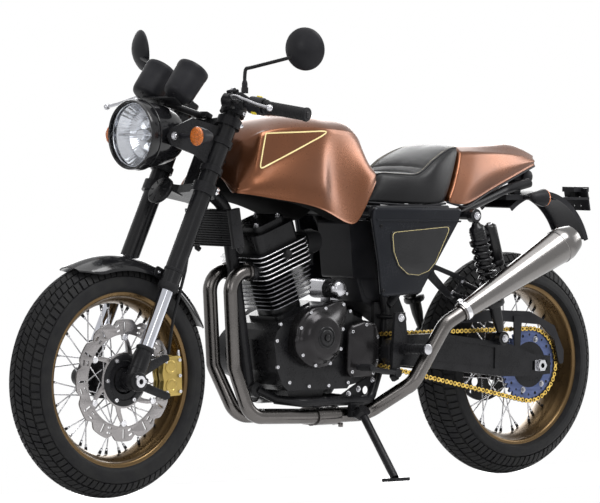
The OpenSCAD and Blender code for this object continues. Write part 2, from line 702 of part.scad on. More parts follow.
// Foot controls: hanger plate, peg, and the pedal of that side
hang_y = arm_y + arm_t + 2;
hang_t = 10;
peg_at = [-180, hang_y, 372];
module foot_hanger() difference() {
    union() {
    side_plate(hang_y, hang_y + hang_t)
        polygon([[-140, 296], [-146, 420], [-150, 470], [-186, 470], [-196, 400], [-206, 374], [-194, 350], [-172, 340], [-166, 290], [-150, 284]]);
    for (p = [[-170, 456], [-160, 306]]) rod([p[0], plate_y + plate_t + clear, p[1]], [p[0], hang_y + 1, p[1]], 6);
    translate(peg_at) {
        rod([0, hang_t - 1, 0], [0, hang_t + 16, 0], 16);
        rod([0, hang_t + 10, 0], [0, 108, 3], 9);
        for (i = [0 : 4]) rod([0, 36 + i * 15, 1], [0, 42 + i * 15, 1.2], 13);
    }
    }
    cradle_tubes(clear);
}
toe_y = hang_y + hang_t;
module left_foot_controls() color(black) {
    foot_hanger();
    rod([-152, toe_y - 1, 308], [-152, toe_y + 14, 308], 12);
    rod([-152, toe_y + 7, 308], [-16, toe_y + 7, 326], 7);
    rod([-16, toe_y, 326], [-16, toe_y + 56, 328], 8);
}
module right_foot_controls() color(black) mirror([0, 1, 0]) {
    foot_hanger();
    rod([-152, toe_y - 1, 308], [-152, toe_y + 14, 308], 12);
    rod([-152, toe_y + 7, 308], [-46, toe_y + 7, 320], 7);
    rod([-46, toe_y, 320], [-46, toe_y + 52, 322], 9);
}

// Front end

yoke_low = 528;
yoke_high = 722;
module yokes() color(black) on_fork() difference() {
    union() {
        for (y = [-1, 1]) for (z = [[yoke_low, 28], [yoke_high, 24]])
            translate([0, y * fork_half, z[0]]) cylinder(h = z[1], r = fork_outer_r + 8);
        for (z = [[yoke_low, 24], [yoke_high, 20]]) translate([0, 0, z[0]]) linear_extrude(z[1])
            polygon([[-fork_offset - 24, -20], [-fork_offset - 24, 20], [-fork_offset - 16, 28], [-20, fork_half], [22, fork_half - 8],
                [4, 0], [22, -fork_half + 8], [-20, -fork_half], [-fork_offset - 16, -28]]);
        translate([-fork_offset, 0, yoke_low + 4]) cylinder(h = yoke_high - yoke_low, r = stem_r);
        translate([-fork_offset, 0, yoke_high + 19]) cylinder(h = 12, r = 18, $fn = 6);
    }
    for (y = [-1, 1]) translate([0, y * fork_half, 0]) cylinder(h = 900, r = fork_outer_r + clear);
}

tube_foot = 268;
module fork_tubes() color(black) on_fork() pair() translate([0, fork_half, 0]) {
    difference() {
        union() {
            translate([0, 0, tube_foot]) cylinder(h = fork_top - tube_foot, r = fork_outer_r);
            translate([0, 0, tube_foot - 6]) cylinder(h = 16, r = fork_outer_r + 1.6);
            translate([0, 0, tube_foot + 40]) cylinder(h = 5, r = fork_outer_r + 1);
        }
        translate([0, 0, tube_foot - 20]) cylinder(h = 100, r = fork_inner_r + clear);
    }
    translate([0, 0, fork_top - 1]) cylinder(h = 10, r = 17, $fn = 6);
}

slider_foot = 84;
foot_half = 26;
module fork_sliders() color(steel) on_fork() pair() translate([0, fork_half, slider_foot + clear])
    cylinder(h = tube_foot + 60 - slider_foot, r = fork_inner_r);

module fork_feet() color(black) on_fork() difference() {
    union() {
        pair() translate([0, fork_half, 0]) {
            translate([0, 0, 4]) cylinder(h = slider_foot - 4, r = fork_inner_r + 6);
            rod([0, -foot_half, 0], [0, foot_half, 0], 26);
        }
        // plate that carries the brake caliper on the left leg
        side_plate(caliper_y1 + clear, caliper_y1 + 9)
            polygon([[-4, 12], [-4, 82], [-70, 108], [-112, 116], [-128, 92], [-112, 44], [-84, 22]]);
    }
    rotate([90, 0, 0]) cylinder(h = 400, r = axle_r + clear, center = true);
    for (y = [-1, 1]) translate([0, y * fork_half, slider_foot - 0.1]) cylinder(h = 60, r = fork_inner_r + clear);
}

axle_half = fork_half + foot_half + 7;
module front_axle() color(steel) at_front() across() difference() {
    union() {
        cylinder(h = 2 * axle_half, r = axle_r, center = true);
        pair_z() translate([0, 0, fork_half + foot_half + clear]) cylinder(h = 6, r = 15);
        pair_z() translate([0, 0, hub_half + 1]) cylinder(h = fork_half - foot_half - clear - hub_half - 1, r = axle_r + 5);
    }
    cylinder(h = 400, r = axle_bore_r, center = true);
}

guard_r = front_tyre_r + 14;
module front_mudguard() color(black) {
    at_front() intersection() {
        across() rotate_extrude($fn = 96) difference() {
            translate([guard_r - 74, 0]) circle(r = 76);
            translate([guard_r - 74, 0]) circle(r = 76 - panel_t);
            translate([0, -100]) square([guard_r - 46, 200]);
        }
        rotate([0, 0, 0]) side_plate(-90, 90)
            polygon([[0, 0], [200, 420], [0, 520], [-420, 300], [-420, 158]]);
    }
    on_fork() pair() {
        rod([0, 62, 300], [0, fork_half - fork_outer_r - clear, 300], 7);
    }
}

lamp_face = [656, 0, 939];
module on_lamp() {
    translate(lamp_face) rotate([0, 90, 0]) children();
}
module headlamp_shell() color(black) on_lamp() difference() {
    rotate_extrude() polygon([[0, -158], [34, -156], [60, -140], [78, -104], [lamp_r - 5, -52], [lamp_r - 4, -30], [lamp_r, -28],
        [lamp_r, -4], [lamp_r - 4, 0], [lamp_r - 12, 0], [lamp_r - 13, -12], [lamp_r - 13, -24], [0, -70]]);
}
module headlamp_lens() color([0.85, 0.88, 0.92]) on_lamp()
    rotate_extrude() polygon([[0, -3], [40, -5], [62, -8], [lamp_r - 13 - clear, -13], [lamp_r - 13 - clear, -19], [0, -19]]);

module headlamp_brackets() color(black) difference() {
    union() {
        on_fork() pair() translate([0, fork_half, 0]) for (s = [590, 668])
            translate([0, 0, s]) cylinder(h = 16, r = fork_outer_r + 5);
        pair() side_plate(fork_half - 3, fork_half + 3)
            polygon([[462, 852], [478, 880], [470, 905], [440, 932], [428, 946], [440, 964], [530, 985], [600, 958], [612, 936], [600, 914], [520, 890]]);
        pair() rod([588, lamp_r - 6, 938], [588, fork_half + 8, 938], 8);
    }
    on_fork() for (y = [-1, 1]) translate([0, y * fork_half, 0]) cylinder(h = 900, r = fork_outer_r + clear);
    on_lamp() translate([0, 0, -120]) cylinder(h = 110, r = lamp_r - 5.9);
}

gauge_foot = [556, 0, 1036];
gauge_tilt = -38;
module gauges() color(black) {
    pair() translate([gauge_foot[0], 64, gauge_foot[2]]) rotate([0, gauge_tilt, 0]) rotate_extrude()
        polygon([[0, 0], [gauge_r - 12, 0], [gauge_r - 3, 10], [gauge_r - 1, 84], [gauge_r, 86], [gauge_r, 96], [gauge_r - 3, 98],
            [gauge_r - 6, 98], [gauge_r - 6, 92], [0, 92]]);
    translate([548, 0, 1028]) rotate([0, gauge_tilt, 0]) cube([36, 132, 8], center = true);
    rod([548, 0, 1026], [414, 0, 992], 9);
    on_fork() translate([2, -30, yoke_high + 20 + clear]) cube([24, 60, 14]);
}

bar_s = 778;
bar_root = [44, fork_half + 26, bar_s];
bar_tip = [-32, 353, bar_s - 2];
bar_dir = unit(bar_tip - bar_root);
module handlebars() color(black) on_fork() pair() difference() {
    union() {
        rod(bar_root - bar_dir * 20, bar_tip, bar_r);
        translate([0, fork_half, bar_s - 20]) cylinder(h = 34, r = fork_outer_r + 9);
        rod([20, fork_half + 8, bar_s], bar_root + bar_dir * 6 - [0, 0, 0], 17);
        rod(bar_root - bar_dir * 14, bar_root + bar_dir * 16, 19);
    }
    translate([0, fork_half, bar_s - 60]) cylinder(h = 100, r = fork_outer_r + clear);
}

grip_from = 112;         // start of the grip, along the bar from its root
module grips() on_fork() pair() {
    color(black) translate(bar_root + bar_dir * grip_from) aim(bar_dir) difference() {
        union() {
            cylinder(h = norm(bar_tip - bar_root) - grip_from + 4, r = 16);
            for (i = [0 : 8]) translate([0, 0, 8 + i * 12]) cylinder(h = 7, r = 16.8);
            cylinder(h = 5, r = 20);
            translate([0, 0, norm(bar_tip - bar_root) - grip_from - 2]) cylinder(h = 8, r = 18.5);
        }
        translate([0, 0, -1]) cylinder(h = norm(bar_tip - bar_root) - grip_from + 1 + clear, r = bar_r + clear);
    }
    // switch housing inboard of the grip
    color(black) translate(bar_root + bar_dir * (grip_from - 46)) aim(bar_dir) difference() {
        translate([-6, 0, 0]) hull() {
            cylinder(h = 42, r = 22, $fn = 32);
            translate([-16, 0, 4]) cylinder(h = 34, r = 20, $fn = 32);
        }
        translate([0, 0, -1]) cylinder(h = 60, r = bar_r + clear);
    }
}

lever_root = bar_root + bar_dir * 44 + [44, 0, -2];
lever_tip = [72, 330, bar_s - 34];
module levers() on_fork() pair() color(alloy) {
    difference() {
        union() {
            translate(bar_root + bar_dir * 26) aim(bar_dir) cylinder(h = 26, r = 18);
            rod(bar_root + bar_dir * 40, lever_root + [4, 0, 0], 11);
            rod(lever_root, lever_root + (lever_tip - lever_root) * 0.4 + [4, 0, 0], 6.5);
            rod(lever_root + (lever_tip - lever_root) * 0.4 + [4, 0, 0], lever_tip, 5.5);
            translate(lever_tip) sphere(r = 9);
            translate(bar_root + bar_dir * 44 + [10, 0, 16]) cube([46, 36, 30], center = true);
        }
        translate(bar_root - bar_dir * 10) aim(bar_dir) cylinder(h = 200, r = bar_r + clear);
    }
}

mirror_foot = bar_root + bar_dir * 44 + [10, 0, 33];
mirror_face = [-0.83, 0.28, -0.28];
module mirrors() color(black) on_fork() pair() {
    bent_tube([mirror_foot, mirror_foot + [-22, 2, 58], mirror_at - [0, 30, 22]], 5, 14);
    translate(mirror_at) aim(mirror_face) rotate_extrude()
        polygon([[0, -22], [16, -20], [36, -13], [mirror_r - 4, -3], [mirror_r, 2], [mirror_r, 6], [mirror_r - 3, 8], [0, 8]]);
    rod(mirror_at - [0, 32, 23.5], mirror_at - [0, 10, 8], 7);
}

module front_indicators() pair() translate([568, fork_half + 3 + 26 + clear, 938]) indicator(1);

disc_y = 62;
caliper_y0 = 42;
caliper_y1 = 86;
caliper_turn = -28;      // up the wheel from straight behind the axle
module front_caliper() color(gold) on_fork() difference() {
    rotate([0, -caliper_turn, 0]) union() {
        translate([-176, caliper_y0, -52]) cube([66, caliper_y1 - caliper_y0, 104]);
        for (z = [-24, 24]) translate([-136, caliper_y1 - 3, z]) across() cylinder(h = 3, r = 17);
        for (z = [-30, 30]) translate([-140, caliper_y0 - 5, z]) across() cylinder(h = 6, r = 17);
    }
    translate([0, disc_y - 5, 0]) across() cylinder(h = 10, r = front_disc_r + 4);
}

module brake_hose() color(black) on_fork() bent_tube([[-96, 76, 116], [-62, 88, 200], [-44, 88, 330], [-26, 68, 470], [-26, 66, yoke_low - clear]], 4, 40);

// Wheels

module tyre(outer, crown, half_w) {
    rotate_extrude($fn = 128) intersection() {
        translate([outer - crown, 0]) circle(r = crown, $fn = 64);
        union() {
            translate([rim_r + clear, -100]) square([crown * 2, 200]);
            translate([rim_r - 9, -half_w + 5 + clear]) square([crown * 2, 2 * (half_w - 5 - clear)]);
        }
    }
}
module rim(w) {
    rotate_extrude($fn = 96) polygon([[rim_r - 9 - clear, -w + 5], [rim_r, -w + 4], [rim_r, -w], [rim_r - 15, -w],
        [rim_r - 19, -w + 12], [rim_r - 33, -w * 0.42], [rim_r - 36, 0], [rim_r - 33, w * 0.42], [rim_r - 19, w - 12], [rim_r - 15, w],
        [rim_r, w], [rim_r, w - 4], [rim_r - 9 - clear, w - 5]]);
}

hub_flange_r = 52;
hub_half = 64;
// Spokes laced from two flanges at lateral places y_left and y_right, crossing in pairs
module spokes(y_left, y_right) {
    for (i = [0 : spoke_count - 1]) {
        left = i % 2 == 0;
        ahead = floor(i / 2) % 2 == 0;
        a_rim = i * 360 / spoke_count;
        a_hub = a_rim + (ahead ? 52 : -52);
        y_hub = (left ? y_left : y_right) + (ahead ? 5.2 : -5.2);
        r_hub = hub_flange_r - 2;
        y_rim = left ? 7 : -7;
        inner = [r_hub * cos(a_hub), r_hub * sin(a_hub), y_hub];
        outer = [(rim_r - 36.8) * cos(a_rim), (rim_r - 36.8) * sin(a_rim), y_rim];
        rod(inner, outer, spoke_r);
        rod(outer - unit(outer - inner) * 14, outer, 3.4);
    }
}

module front_tyre() color(black) at_front() across() tyre(front_tyre_r, front_crown_r, front_rim_w);
module front_rim() color(rim_gold) at_front() across() rim(front_rim_w);
module front_spokes() color(steel) at_front() across() spokes(30, -30);
module hub(half, flange_y, barrel_r) difference() {
    union() {
        cylinder(h = 2 * half, r = 30, center = true);
        cylinder(h = 2 * flange_y, r = barrel_r, center = true);
        for (s = [-1, 1]) translate([0, 0, s * flange_y]) cylinder(h = 5, r = hub_flange_r, center = true);
    }
    cylinder(h = 400, r = axle_r + run_gap, center = true);
}
module front_hub() color(black) at_front() across() hub(hub_half, 30, 34);

module front_disc() color(steel) at_front() across() translate([0, 0, disc_y - 2.5]) linear_extrude(5) difference() {
    union() {
        circle(r = front_disc_r - 6, $fn = 96);
        for (i = [0 : 11]) rotate(i * 30) translate([front_disc_r - 19, 0]) circle(r = 19);
    }
    circle(r = 30 + clear);
    for (i = [0 : 5]) rotate(i * 60) {
        translate([74, 0]) circle(r = 19);
        rotate(30) translate([90, 0]) circle(r = 13);
        rotate(14) translate([front_disc_r - 22, 0]) square([22, 4.5], center = true);
        rotate(44) translate([front_disc_r - 22, 0]) square([4.5, 22], center = true);
    }
}

module rear_tyre() color(black) at_rear() across() tyre(rear_tyre_r, rear_crown_r, rear_rim_w);
module rear_rim() color(rim_gold) at_rear() across() rim(rear_rim_w);
module rear_spokes() color(steel) at_rear() across() spokes(34, -34);
sprocket_t = 7;
module rear_hub() color(satin_black) at_rear() across() {
    hub(66, 34, 42);
    difference() {
        union() {
            translate([0, 0, 60]) cylinder(h = chain_y - 60 - sprocket_t / 2, r = 62);
            translate([0, 0, chain_y - sprocket_t / 2 - 0.5]) linear_extrude(sprocket_t) difference() {
                circle(r = rear_pitch_r - 9, $fn = 96);
                for (i = [0 : 11]) rotate(i * 30 + 15) translate([rear_pitch_r - 19, 0]) circle(r = 5);
            }
            translate([0, 0, rear_disc_y]) linear_extrude(rear_disc_t) difference() {
                circle(r = rear_disc_r, $fn = 96);
                for (i = [0 : 11]) rotate(i * 30) translate([98, 0]) circle(r = 5);
                for (i = [0 : 5]) rotate(i * 60) translate([66, 0]) circle(r = 14);
            }
            translate([0, 0, rear_disc_y + 4]) cylinder(h = -rear_disc_y - 60, r = 50);
        }
        cylinder(h = 400, r = axle_r + run_gap, center = true);
    }
}

// Side stand, swung out: the foot lies flat on the ground of the leaning machine
stand_foot = [-26, 300];
module side_stand() color(black) {
    sole_z = stand_foot[1] * tan(lean) - park_lift / cos(lean);
    foot = [stand_foot[0], stand_foot[1], sole_z];
    rod(stand_pivot, foot + [0, -4, 8], 11);
    translate(stand_pivot) aim(stand_axis) translate([0, 0, -12]) cylinder(h = 26, r = 18);
    translate(foot) rotate([lean, 0, 0]) linear_extrude(9) offset(r = 14) square([44, 22], center = true);
}

parked() frame_spine();
parked() frame_cradle();
parked() seat_rails();
parked() engine_cases();
parked() engine_barrel();
parked() engine_head();
parked() left_engine_cover();
parked() right_engine_cover();
parked() sprocket_cover();
parked() starter_motor();
parked() intake();
parked() oil_cooler();
parked() exhaust_headers();
parked() silencer();
parked() fuel_tank();
parked() fuel_cap();
parked() seat();
parked() tail_cowl();
parked() rear_mudguard();
parked() tail_lamp();
parked() rear_indicators();
parked() left_side_panel();
parked() right_side_panel();
parked() battery_box();
parked() left_shock();
parked() right_shock();
parked() swingarm();
parked() chain_guard();
parked() chain();
parked() rear_axle();
parked() rear_caliper();
parked() left_foot_controls();
parked() right_foot_controls();
parked() yokes();
parked() fork_tubes();
parked() fork_sliders();
parked() fork_feet();
parked() front_axle();
parked() front_mudguard();
parked() headlamp_shell();
parked() headlamp_lens();
parked() headlamp_brackets();
parked() gauges();
parked() handlebars();
parked() grips();
parked() levers();
parked() mirrors();
parked() front_indicators();
parked() front_caliper();
parked() brake_hose();
parked() front_tyre();
parked() front_rim();
parked() front_spokes();
parked() front_hub();
parked() front_disc();
parked() rear_tyre();
parked() rear_rim();
parked() rear_spokes();
parked() rear_hub();
parked() side_stand();
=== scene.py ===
"""Dress of a parked cafe racer: its visible pieces, finishes, stage and camera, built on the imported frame.

Pieces are drawn upright in millimetres, X forward, Y to the rider's left, Z up from the ground half way
between the axles, and placed() leans them as the machine parks.
"""

import math

import bmesh
import bpy
from bpy.props import FloatProperty, FloatVectorProperty, IntProperty, PointerProperty
from mathutils import Matrix, Vector
from mathutils.bvhtree import BVHTree


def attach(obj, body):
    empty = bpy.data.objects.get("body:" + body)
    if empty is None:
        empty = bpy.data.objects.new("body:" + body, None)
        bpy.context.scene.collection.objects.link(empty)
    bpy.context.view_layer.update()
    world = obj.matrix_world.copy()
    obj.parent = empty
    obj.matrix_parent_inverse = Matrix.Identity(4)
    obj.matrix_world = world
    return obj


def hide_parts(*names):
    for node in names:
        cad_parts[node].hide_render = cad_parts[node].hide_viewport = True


bl_info = {
    "name": "Parked cafe racer",
    "version": (1, 0, 0),
    "blender": (4, 5, 0),
    "location": "View3D > Sidebar > Cafe racer",
    "description": "Builds the visible pieces of the motorcycle on its packed frame",
    "category": "Object",
}

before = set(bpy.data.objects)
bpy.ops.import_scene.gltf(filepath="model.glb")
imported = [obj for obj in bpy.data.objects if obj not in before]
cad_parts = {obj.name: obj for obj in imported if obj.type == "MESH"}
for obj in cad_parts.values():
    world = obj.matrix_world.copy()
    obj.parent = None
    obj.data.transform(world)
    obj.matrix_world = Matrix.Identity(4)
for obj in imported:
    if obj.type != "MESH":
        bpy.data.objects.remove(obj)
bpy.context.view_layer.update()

# Layout of the machine, as in the part's source
LEAN, RAKE = math.radians(6), math.radians(25)
FRONT_X, REAR_X = 715.0, -715.0
FRONT_R, FRONT_CROWN = 308.0, 61.0
REAR_R, REAR_CROWN = 312.0, 77.0
RIM_R, FRONT_RIM_W, REAR_RIM_W = 232.0, 48.0, 62.0
SPOKES, SPOKE_SWEEP = 36, 52
CHAIN_Y, CHAIN_PITCH = 98.0, 15.875
FRONT_TEETH, REAR_TEETH = 15, 40
HEAD_Z = 121.8
MIRROR_Z = FRONT_R + 36 * math.sin(RAKE) + 938 * math.cos(RAKE)
PARKED = (
    Matrix.Translation((0, -MIRROR_Z * math.sin(LEAN) / 1000, REAR_CROWN * (1 - math.cos(LEAN)) / 1000))
    @ Matrix.Rotation(-LEAN, 4, "X")
    @ Matrix.Scale(0.001, 4)
)
FORK = Matrix.Translation((FRONT_X, 0, FRONT_R)) @ Matrix.Rotation(-RAKE, 4, "Y")
BARREL = Matrix.Translation((128, 0, 470)) @ Matrix.Rotation(math.radians(20), 4, "Y")
ACROSS, UPRIGHT = (Matrix.Rotation(math.radians(a), 4, "X") for a in (-90, 90))
BOTH = (Matrix.Identity(4), Matrix.Scale(-1, 4, (0, 1, 0)))
SIDES = (("left", BOTH[0]), ("right", BOTH[1]))

# The photograph's camera, fitted in the frame of the upright machine: metres, degrees and pixels
CAMERA_SPOT = (7.254, 8.072, 0.949)
CAMERA_YAW, CAMERA_PITCH, CAMERA_ROLL = 48.29, 1.68, 0.85
CAMERA_FOCUS, PHOTO_WIDTH, SENSOR_WIDTH = 4023, 600, 36


def at(x, y, z):
    return Matrix.Translation((x, y, z))


def turn(degrees, axis):
    return Matrix.Rotation(math.radians(degrees), 4, axis)


def aimed(start, direction):
    """Frame at start whose Z axis points along direction, with its X axis kept level where it can be."""
    return at(*start) @ Vector(direction).to_track_quat("Z", "Y").to_matrix().to_4x4()


def polar(r, a, x=0.0, y=0.0):
    """Point at radius r and angle a, in radians, about (x, y)."""
    return (x + r * math.cos(a), y + r * math.sin(a))


def bell(x, width, power=2):
    """Smooth bump: 1 at x = 0, and nearly nothing past twice its width."""
    return math.exp(-((x / width) ** power))


def mirrored(half):
    """Closed ring from a half that starts and ends on the middle plane."""
    return half + [(x, -y, z) for x, y, z in reversed(half[1:-1])]


# Nodes


def set_inputs(node, **values):
    for label, value in values.items():
        node.inputs[label.replace("_", " ")].default_value = value


def new_node(tree, kind, traits=None, **values):
    """New node of a tree, with its own traits first and then some of its inputs."""
    node = tree.nodes.new(kind)
    for trait, value in (traits or {}).items():
        setattr(node, trait, value)
    set_inputs(node, **values)
    return node


def wire(tree, *links):
    """Links sockets, each link given as node, output, node, input."""
    for source, out, target, into in links:
        tree.links.new(source.outputs[out], target.inputs[into])


def empty_tree(name, kind, inputs, outputs):
    """Node tree with its group nodes: inputs are label, socket and default, outputs are label and socket."""
    tree = bpy.data.node_groups.new(name, kind)
    for label, socket, value in inputs:
        made = tree.interface.new_socket(label, in_out="INPUT", socket_type="NodeSocket" + socket)
        if value is not None:
            made.default_value = value
    for label, socket in outputs:
        tree.interface.new_socket(label, in_out="OUTPUT", socket_type="NodeSocket" + socket)
    return tree, new_node(tree, "NodeGroupInput"), new_node(tree, "NodeGroupOutput")


# Finishes: shared shader groups


def grain_group():
    """Fine skin of a cast, coated or moulded surface, as a normal."""
    tree, inp, out = empty_tree(
        "Fine skin", "ShaderNodeTree",
        [("Scale", "Float", 600.0), ("Depth", "Float", 0.2), ("Detail", "Float", 3.0)],
        [("Normal", "Vector")],
    )
    place = new_node(tree, "ShaderNodeTexCoord")
    noise = new_node(tree, "ShaderNodeTexNoise")
    bump = new_node(tree, "ShaderNodeBump", Distance=0.0006)
    wire(
        tree, (place, "Object", noise, "Vector"), (inp, "Scale", noise, "Scale"),
        (inp, "Detail", noise, "Detail"), (noise, "Fac", bump, "Height"), (inp, "Depth", bump, "Strength"),
        (bump, "Normal", out, "Normal"),
    )
    return tree


def mottle_group():
    """Uneven colour and polish: two noises, one broad and one fine."""
    tree, inp, out = empty_tree(
        "Mottle", "ShaderNodeTree",
        [("Scale", "Float", 18.0), ("Colour", "Color", (0.1, 0.1, 0.1, 1)),
            ("Second colour", "Color", (0.2, 0.2, 0.2, 1)), ("Smooth", "Float", 0.3),
            ("Rough", "Float", 0.5)],
        [("Colour", "Color"), ("Roughness", "Float")],
    )
    place = new_node(tree, "ShaderNodeTexCoord")
    broad = new_node(tree, "ShaderNodeTexNoise", Detail=5)
    fine = new_node(tree, "ShaderNodeTexNoise", Scale=240, Detail=4)
    ramp = new_node(tree, "ShaderNodeMapRange", From_Min=0.35, From_Max=0.68)
    gloss = new_node(tree, "ShaderNodeMapRange", From_Min=0.12, From_Max=0.4)
    mix = new_node(tree, "ShaderNodeMix", {"data_type": "RGBA"})
    blend = new_node(tree, "ShaderNodeMath", {"operation": "MULTIPLY"})
    wire(
        tree, (place, "Object", broad, "Vector"), (place, "Object", fine, "Vector"),
        (inp, "Scale", broad, "Scale"), (broad, "Fac", ramp, "Value"), (ramp, "Result", mix, "Factor"),
        (inp, "Colour", mix, "A"), (inp, "Second colour", mix, "B"), (mix, "Result", out, "Colour"),
        (broad, "Fac", blend, 0), (fine, "Fac", blend, 1), (blend, "Value", gloss, "Value"),
        (inp, "Smooth", gloss, "To Min"), (inp, "Rough", gloss, "To Max"),
        (gloss, "Result", out, "Roughness"),
    )
    return tree


def brush_group():
    """Drawn lines of a brushed or turned metal: noise squeezed along one direction."""
    tree, inp, out = empty_tree(
        "Brushed lines", "ShaderNodeTree",
        [("Squeeze", "Vector", (4.0, 300.0, 300.0)), ("Turn", "Vector", (0, 0, 0)), ("Depth", "Float", 0.15)],
        [("Lines", "Float"), ("Normal", "Vector")],
    )
    place = new_node(tree, "ShaderNodeTexCoord")
    mapping = new_node(tree, "ShaderNodeMapping")
    noise = new_node(tree, "ShaderNodeTexNoise", Scale=1, Detail=5)
    bump = new_node(tree, "ShaderNodeBump", Distance=0.0005)
    wire(
        tree, (place, "Object", mapping, "Vector"), (inp, "Squeeze", mapping, "Scale"),
        (inp, "Turn", mapping, "Rotation"), (mapping, "Vector", noise, "Vector"),
        (noise, "Fac", bump, "Height"), (inp, "Depth", bump, "Strength"), (noise, "Fac", out, "Lines"),
        (bump, "Normal", out, "Normal"),
    )
    return tree


def pebble_group():
    """Pebbled leather: rounded cells with fine creases between them, and the mask that paints shade in those
    creases.
    """
    tree, inp, out = empty_tree(
        "Pebbled hide", "ShaderNodeTree", [("Scale", "Float", 420.0), ("Depth", "Float", 0.3)],
        [("Creases", "Float"), ("Normal", "Vector")],
    )
    place = new_node(tree, "ShaderNodeTexCoord")
    cells = new_node(tree, "ShaderNodeTexVoronoi", {"feature": "DISTANCE_TO_EDGE"})
    warp = new_node(tree, "ShaderNodeTexNoise", Scale=90)
    shift = new_node(tree, "ShaderNodeMix", {"data_type": "VECTOR"}, Factor=0.012)
    flat = new_node(tree, "ShaderNodeMapRange", From_Max=0.22)
    bump = new_node(tree, "ShaderNodeBump", Distance=0.0009)
    wire(
        tree, (place, "Object", shift, "A"), (place, "Object", warp, "Vector"), (warp, "Color", shift, "B"),
        (shift, "Result", cells, "Vector"), (inp, "Scale", cells, "Scale"),
        (cells, "Distance", flat, "Value"), (flat, "Result", bump, "Height"),
        (inp, "Depth", bump, "Strength"), (flat, "Result", out, "Creases"), (bump, "Normal", out, "Normal"),
    )
    return tree


GROUPS = {"grain": grain_group(), "mottle": mottle_group(), "brush": brush_group(), "pebble": pebble_group()}


def new_finish(name):
    material = bpy.data.materials.new(name)
    material.use_nodes = True
    tree = material.node_tree
    return material, tree, next(n for n in tree.nodes if n.type == "BSDF_PRINCIPLED")


def group_node(tree, key, **values):
    return new_node(tree, "ShaderNodeGroup", {"node_tree": GROUPS[key]}, **values)


def rgba(colour, share=1.0):
    return (*shaded(colour, share), 1.0)


def shaded(colour, share):
    return tuple(c * share for c in colour)


def coated(name, colour, second, metallic=0.0, smooth=0.3, rough=0.45, mottle=18.0, grain=600.0, depth=0.12,
        coat=0.0, coat_rough=0.1, specular=0.5):
    """A painted, moulded or cast finish: mottled colour and polish, with a fine skin."""
    material, tree, shader = new_finish(name)
    shade = group_node(tree, "mottle", Scale=mottle, Colour=rgba(colour), Second_colour=rgba(second),
        Smooth=smooth, Rough=rough)
    skin = group_node(tree, "grain", Scale=grain, Depth=depth)
    wire(tree, (shade, "Colour", shader, "Base Color"), (shade, "Roughness", shader, "Roughness"),
        (skin, "Normal", shader, "Normal"))
    set_inputs(shader, Metallic=metallic, Specular_IOR_Level=specular, Coat_Weight=coat,
        Coat_Roughness=coat_rough)
    return material


def brushed(name, colour, second, squeeze, turned=(0, 0, 0), smooth=0.2, rough=0.4, depth=0.12):
    """Bare metal with drawn lines."""
    material, tree, shader = new_finish(name)
    lines = group_node(tree, "brush", Squeeze=squeeze, Turn=turned, Depth=depth)
    shade = group_node(tree, "mottle", Scale=9.0, Colour=rgba(colour), Second_colour=rgba(second),
        Smooth=smooth, Rough=rough)
    mix = new_node(tree, "ShaderNodeMix", {"data_type": "RGBA"}, B=rgba(second))
    wire(tree, (shade, "Colour", mix, "A"), (lines, "Lines", mix, "Factor"),
        (mix, "Result", shader, "Base Color"), (shade, "Roughness", shader, "Roughness"),
        (lines, "Normal", shader, "Normal"))
    set_inputs(shader, Metallic=1.0)
    return material


def hide(name, colour, second):
    """Black saddle leather, with painted shade in the creases between its pebbled cells."""
    material, tree, shader = new_finish(name)
    cells = group_node(tree, "pebble", Scale=430.0, Depth=0.14)
    shade = group_node(tree, "mottle", Scale=14.0, Colour=rgba(colour), Second_colour=rgba(second),
        Smooth=0.34, Rough=0.44)
    # Darker colour in the creases: painted shade
    mix = new_node(tree, "ShaderNodeMix", {"data_type": "RGBA"}, A=rgba(colour, 0.6))
    wire(tree, (cells, "Creases", mix, "Factor"), (shade, "Colour", mix, "B"),
        (mix, "Result", shader, "Base Color"), (shade, "Roughness", shader, "Roughness"),
        (cells, "Normal", shader, "Normal"))
    set_inputs(shader, Specular_IOR_Level=0.2)
    return material


def lens(name, colour, rough=0.03, transmission=1.0, facets=0.0):
    """Clear or tinted moulded lens, plain or with moulded facets whose creases carry painted shade."""
    material, tree, shader = new_finish(name)
    if facets:
        skin = group_node(tree, "pebble", Scale=facets, Depth=0.5)
        # Darker colour in the facet creases: painted shade
        mix = new_node(tree, "ShaderNodeMix", {"data_type": "RGBA"}, A=rgba(colour, 0.25), B=rgba(colour))
        wire(tree, (skin, "Creases", mix, "Factor"), (mix, "Result", shader, "Base Color"))
    else:
        skin = group_node(tree, "grain", Scale=160.0, Depth=0.04)
        set_inputs(shader, Base_Color=rgba(colour))
    wire(tree, (skin, "Normal", shader, "Normal"))
    set_inputs(shader, Roughness=rough, Transmission_Weight=transmission, IOR=1.45)
    return material


FINISH = {}


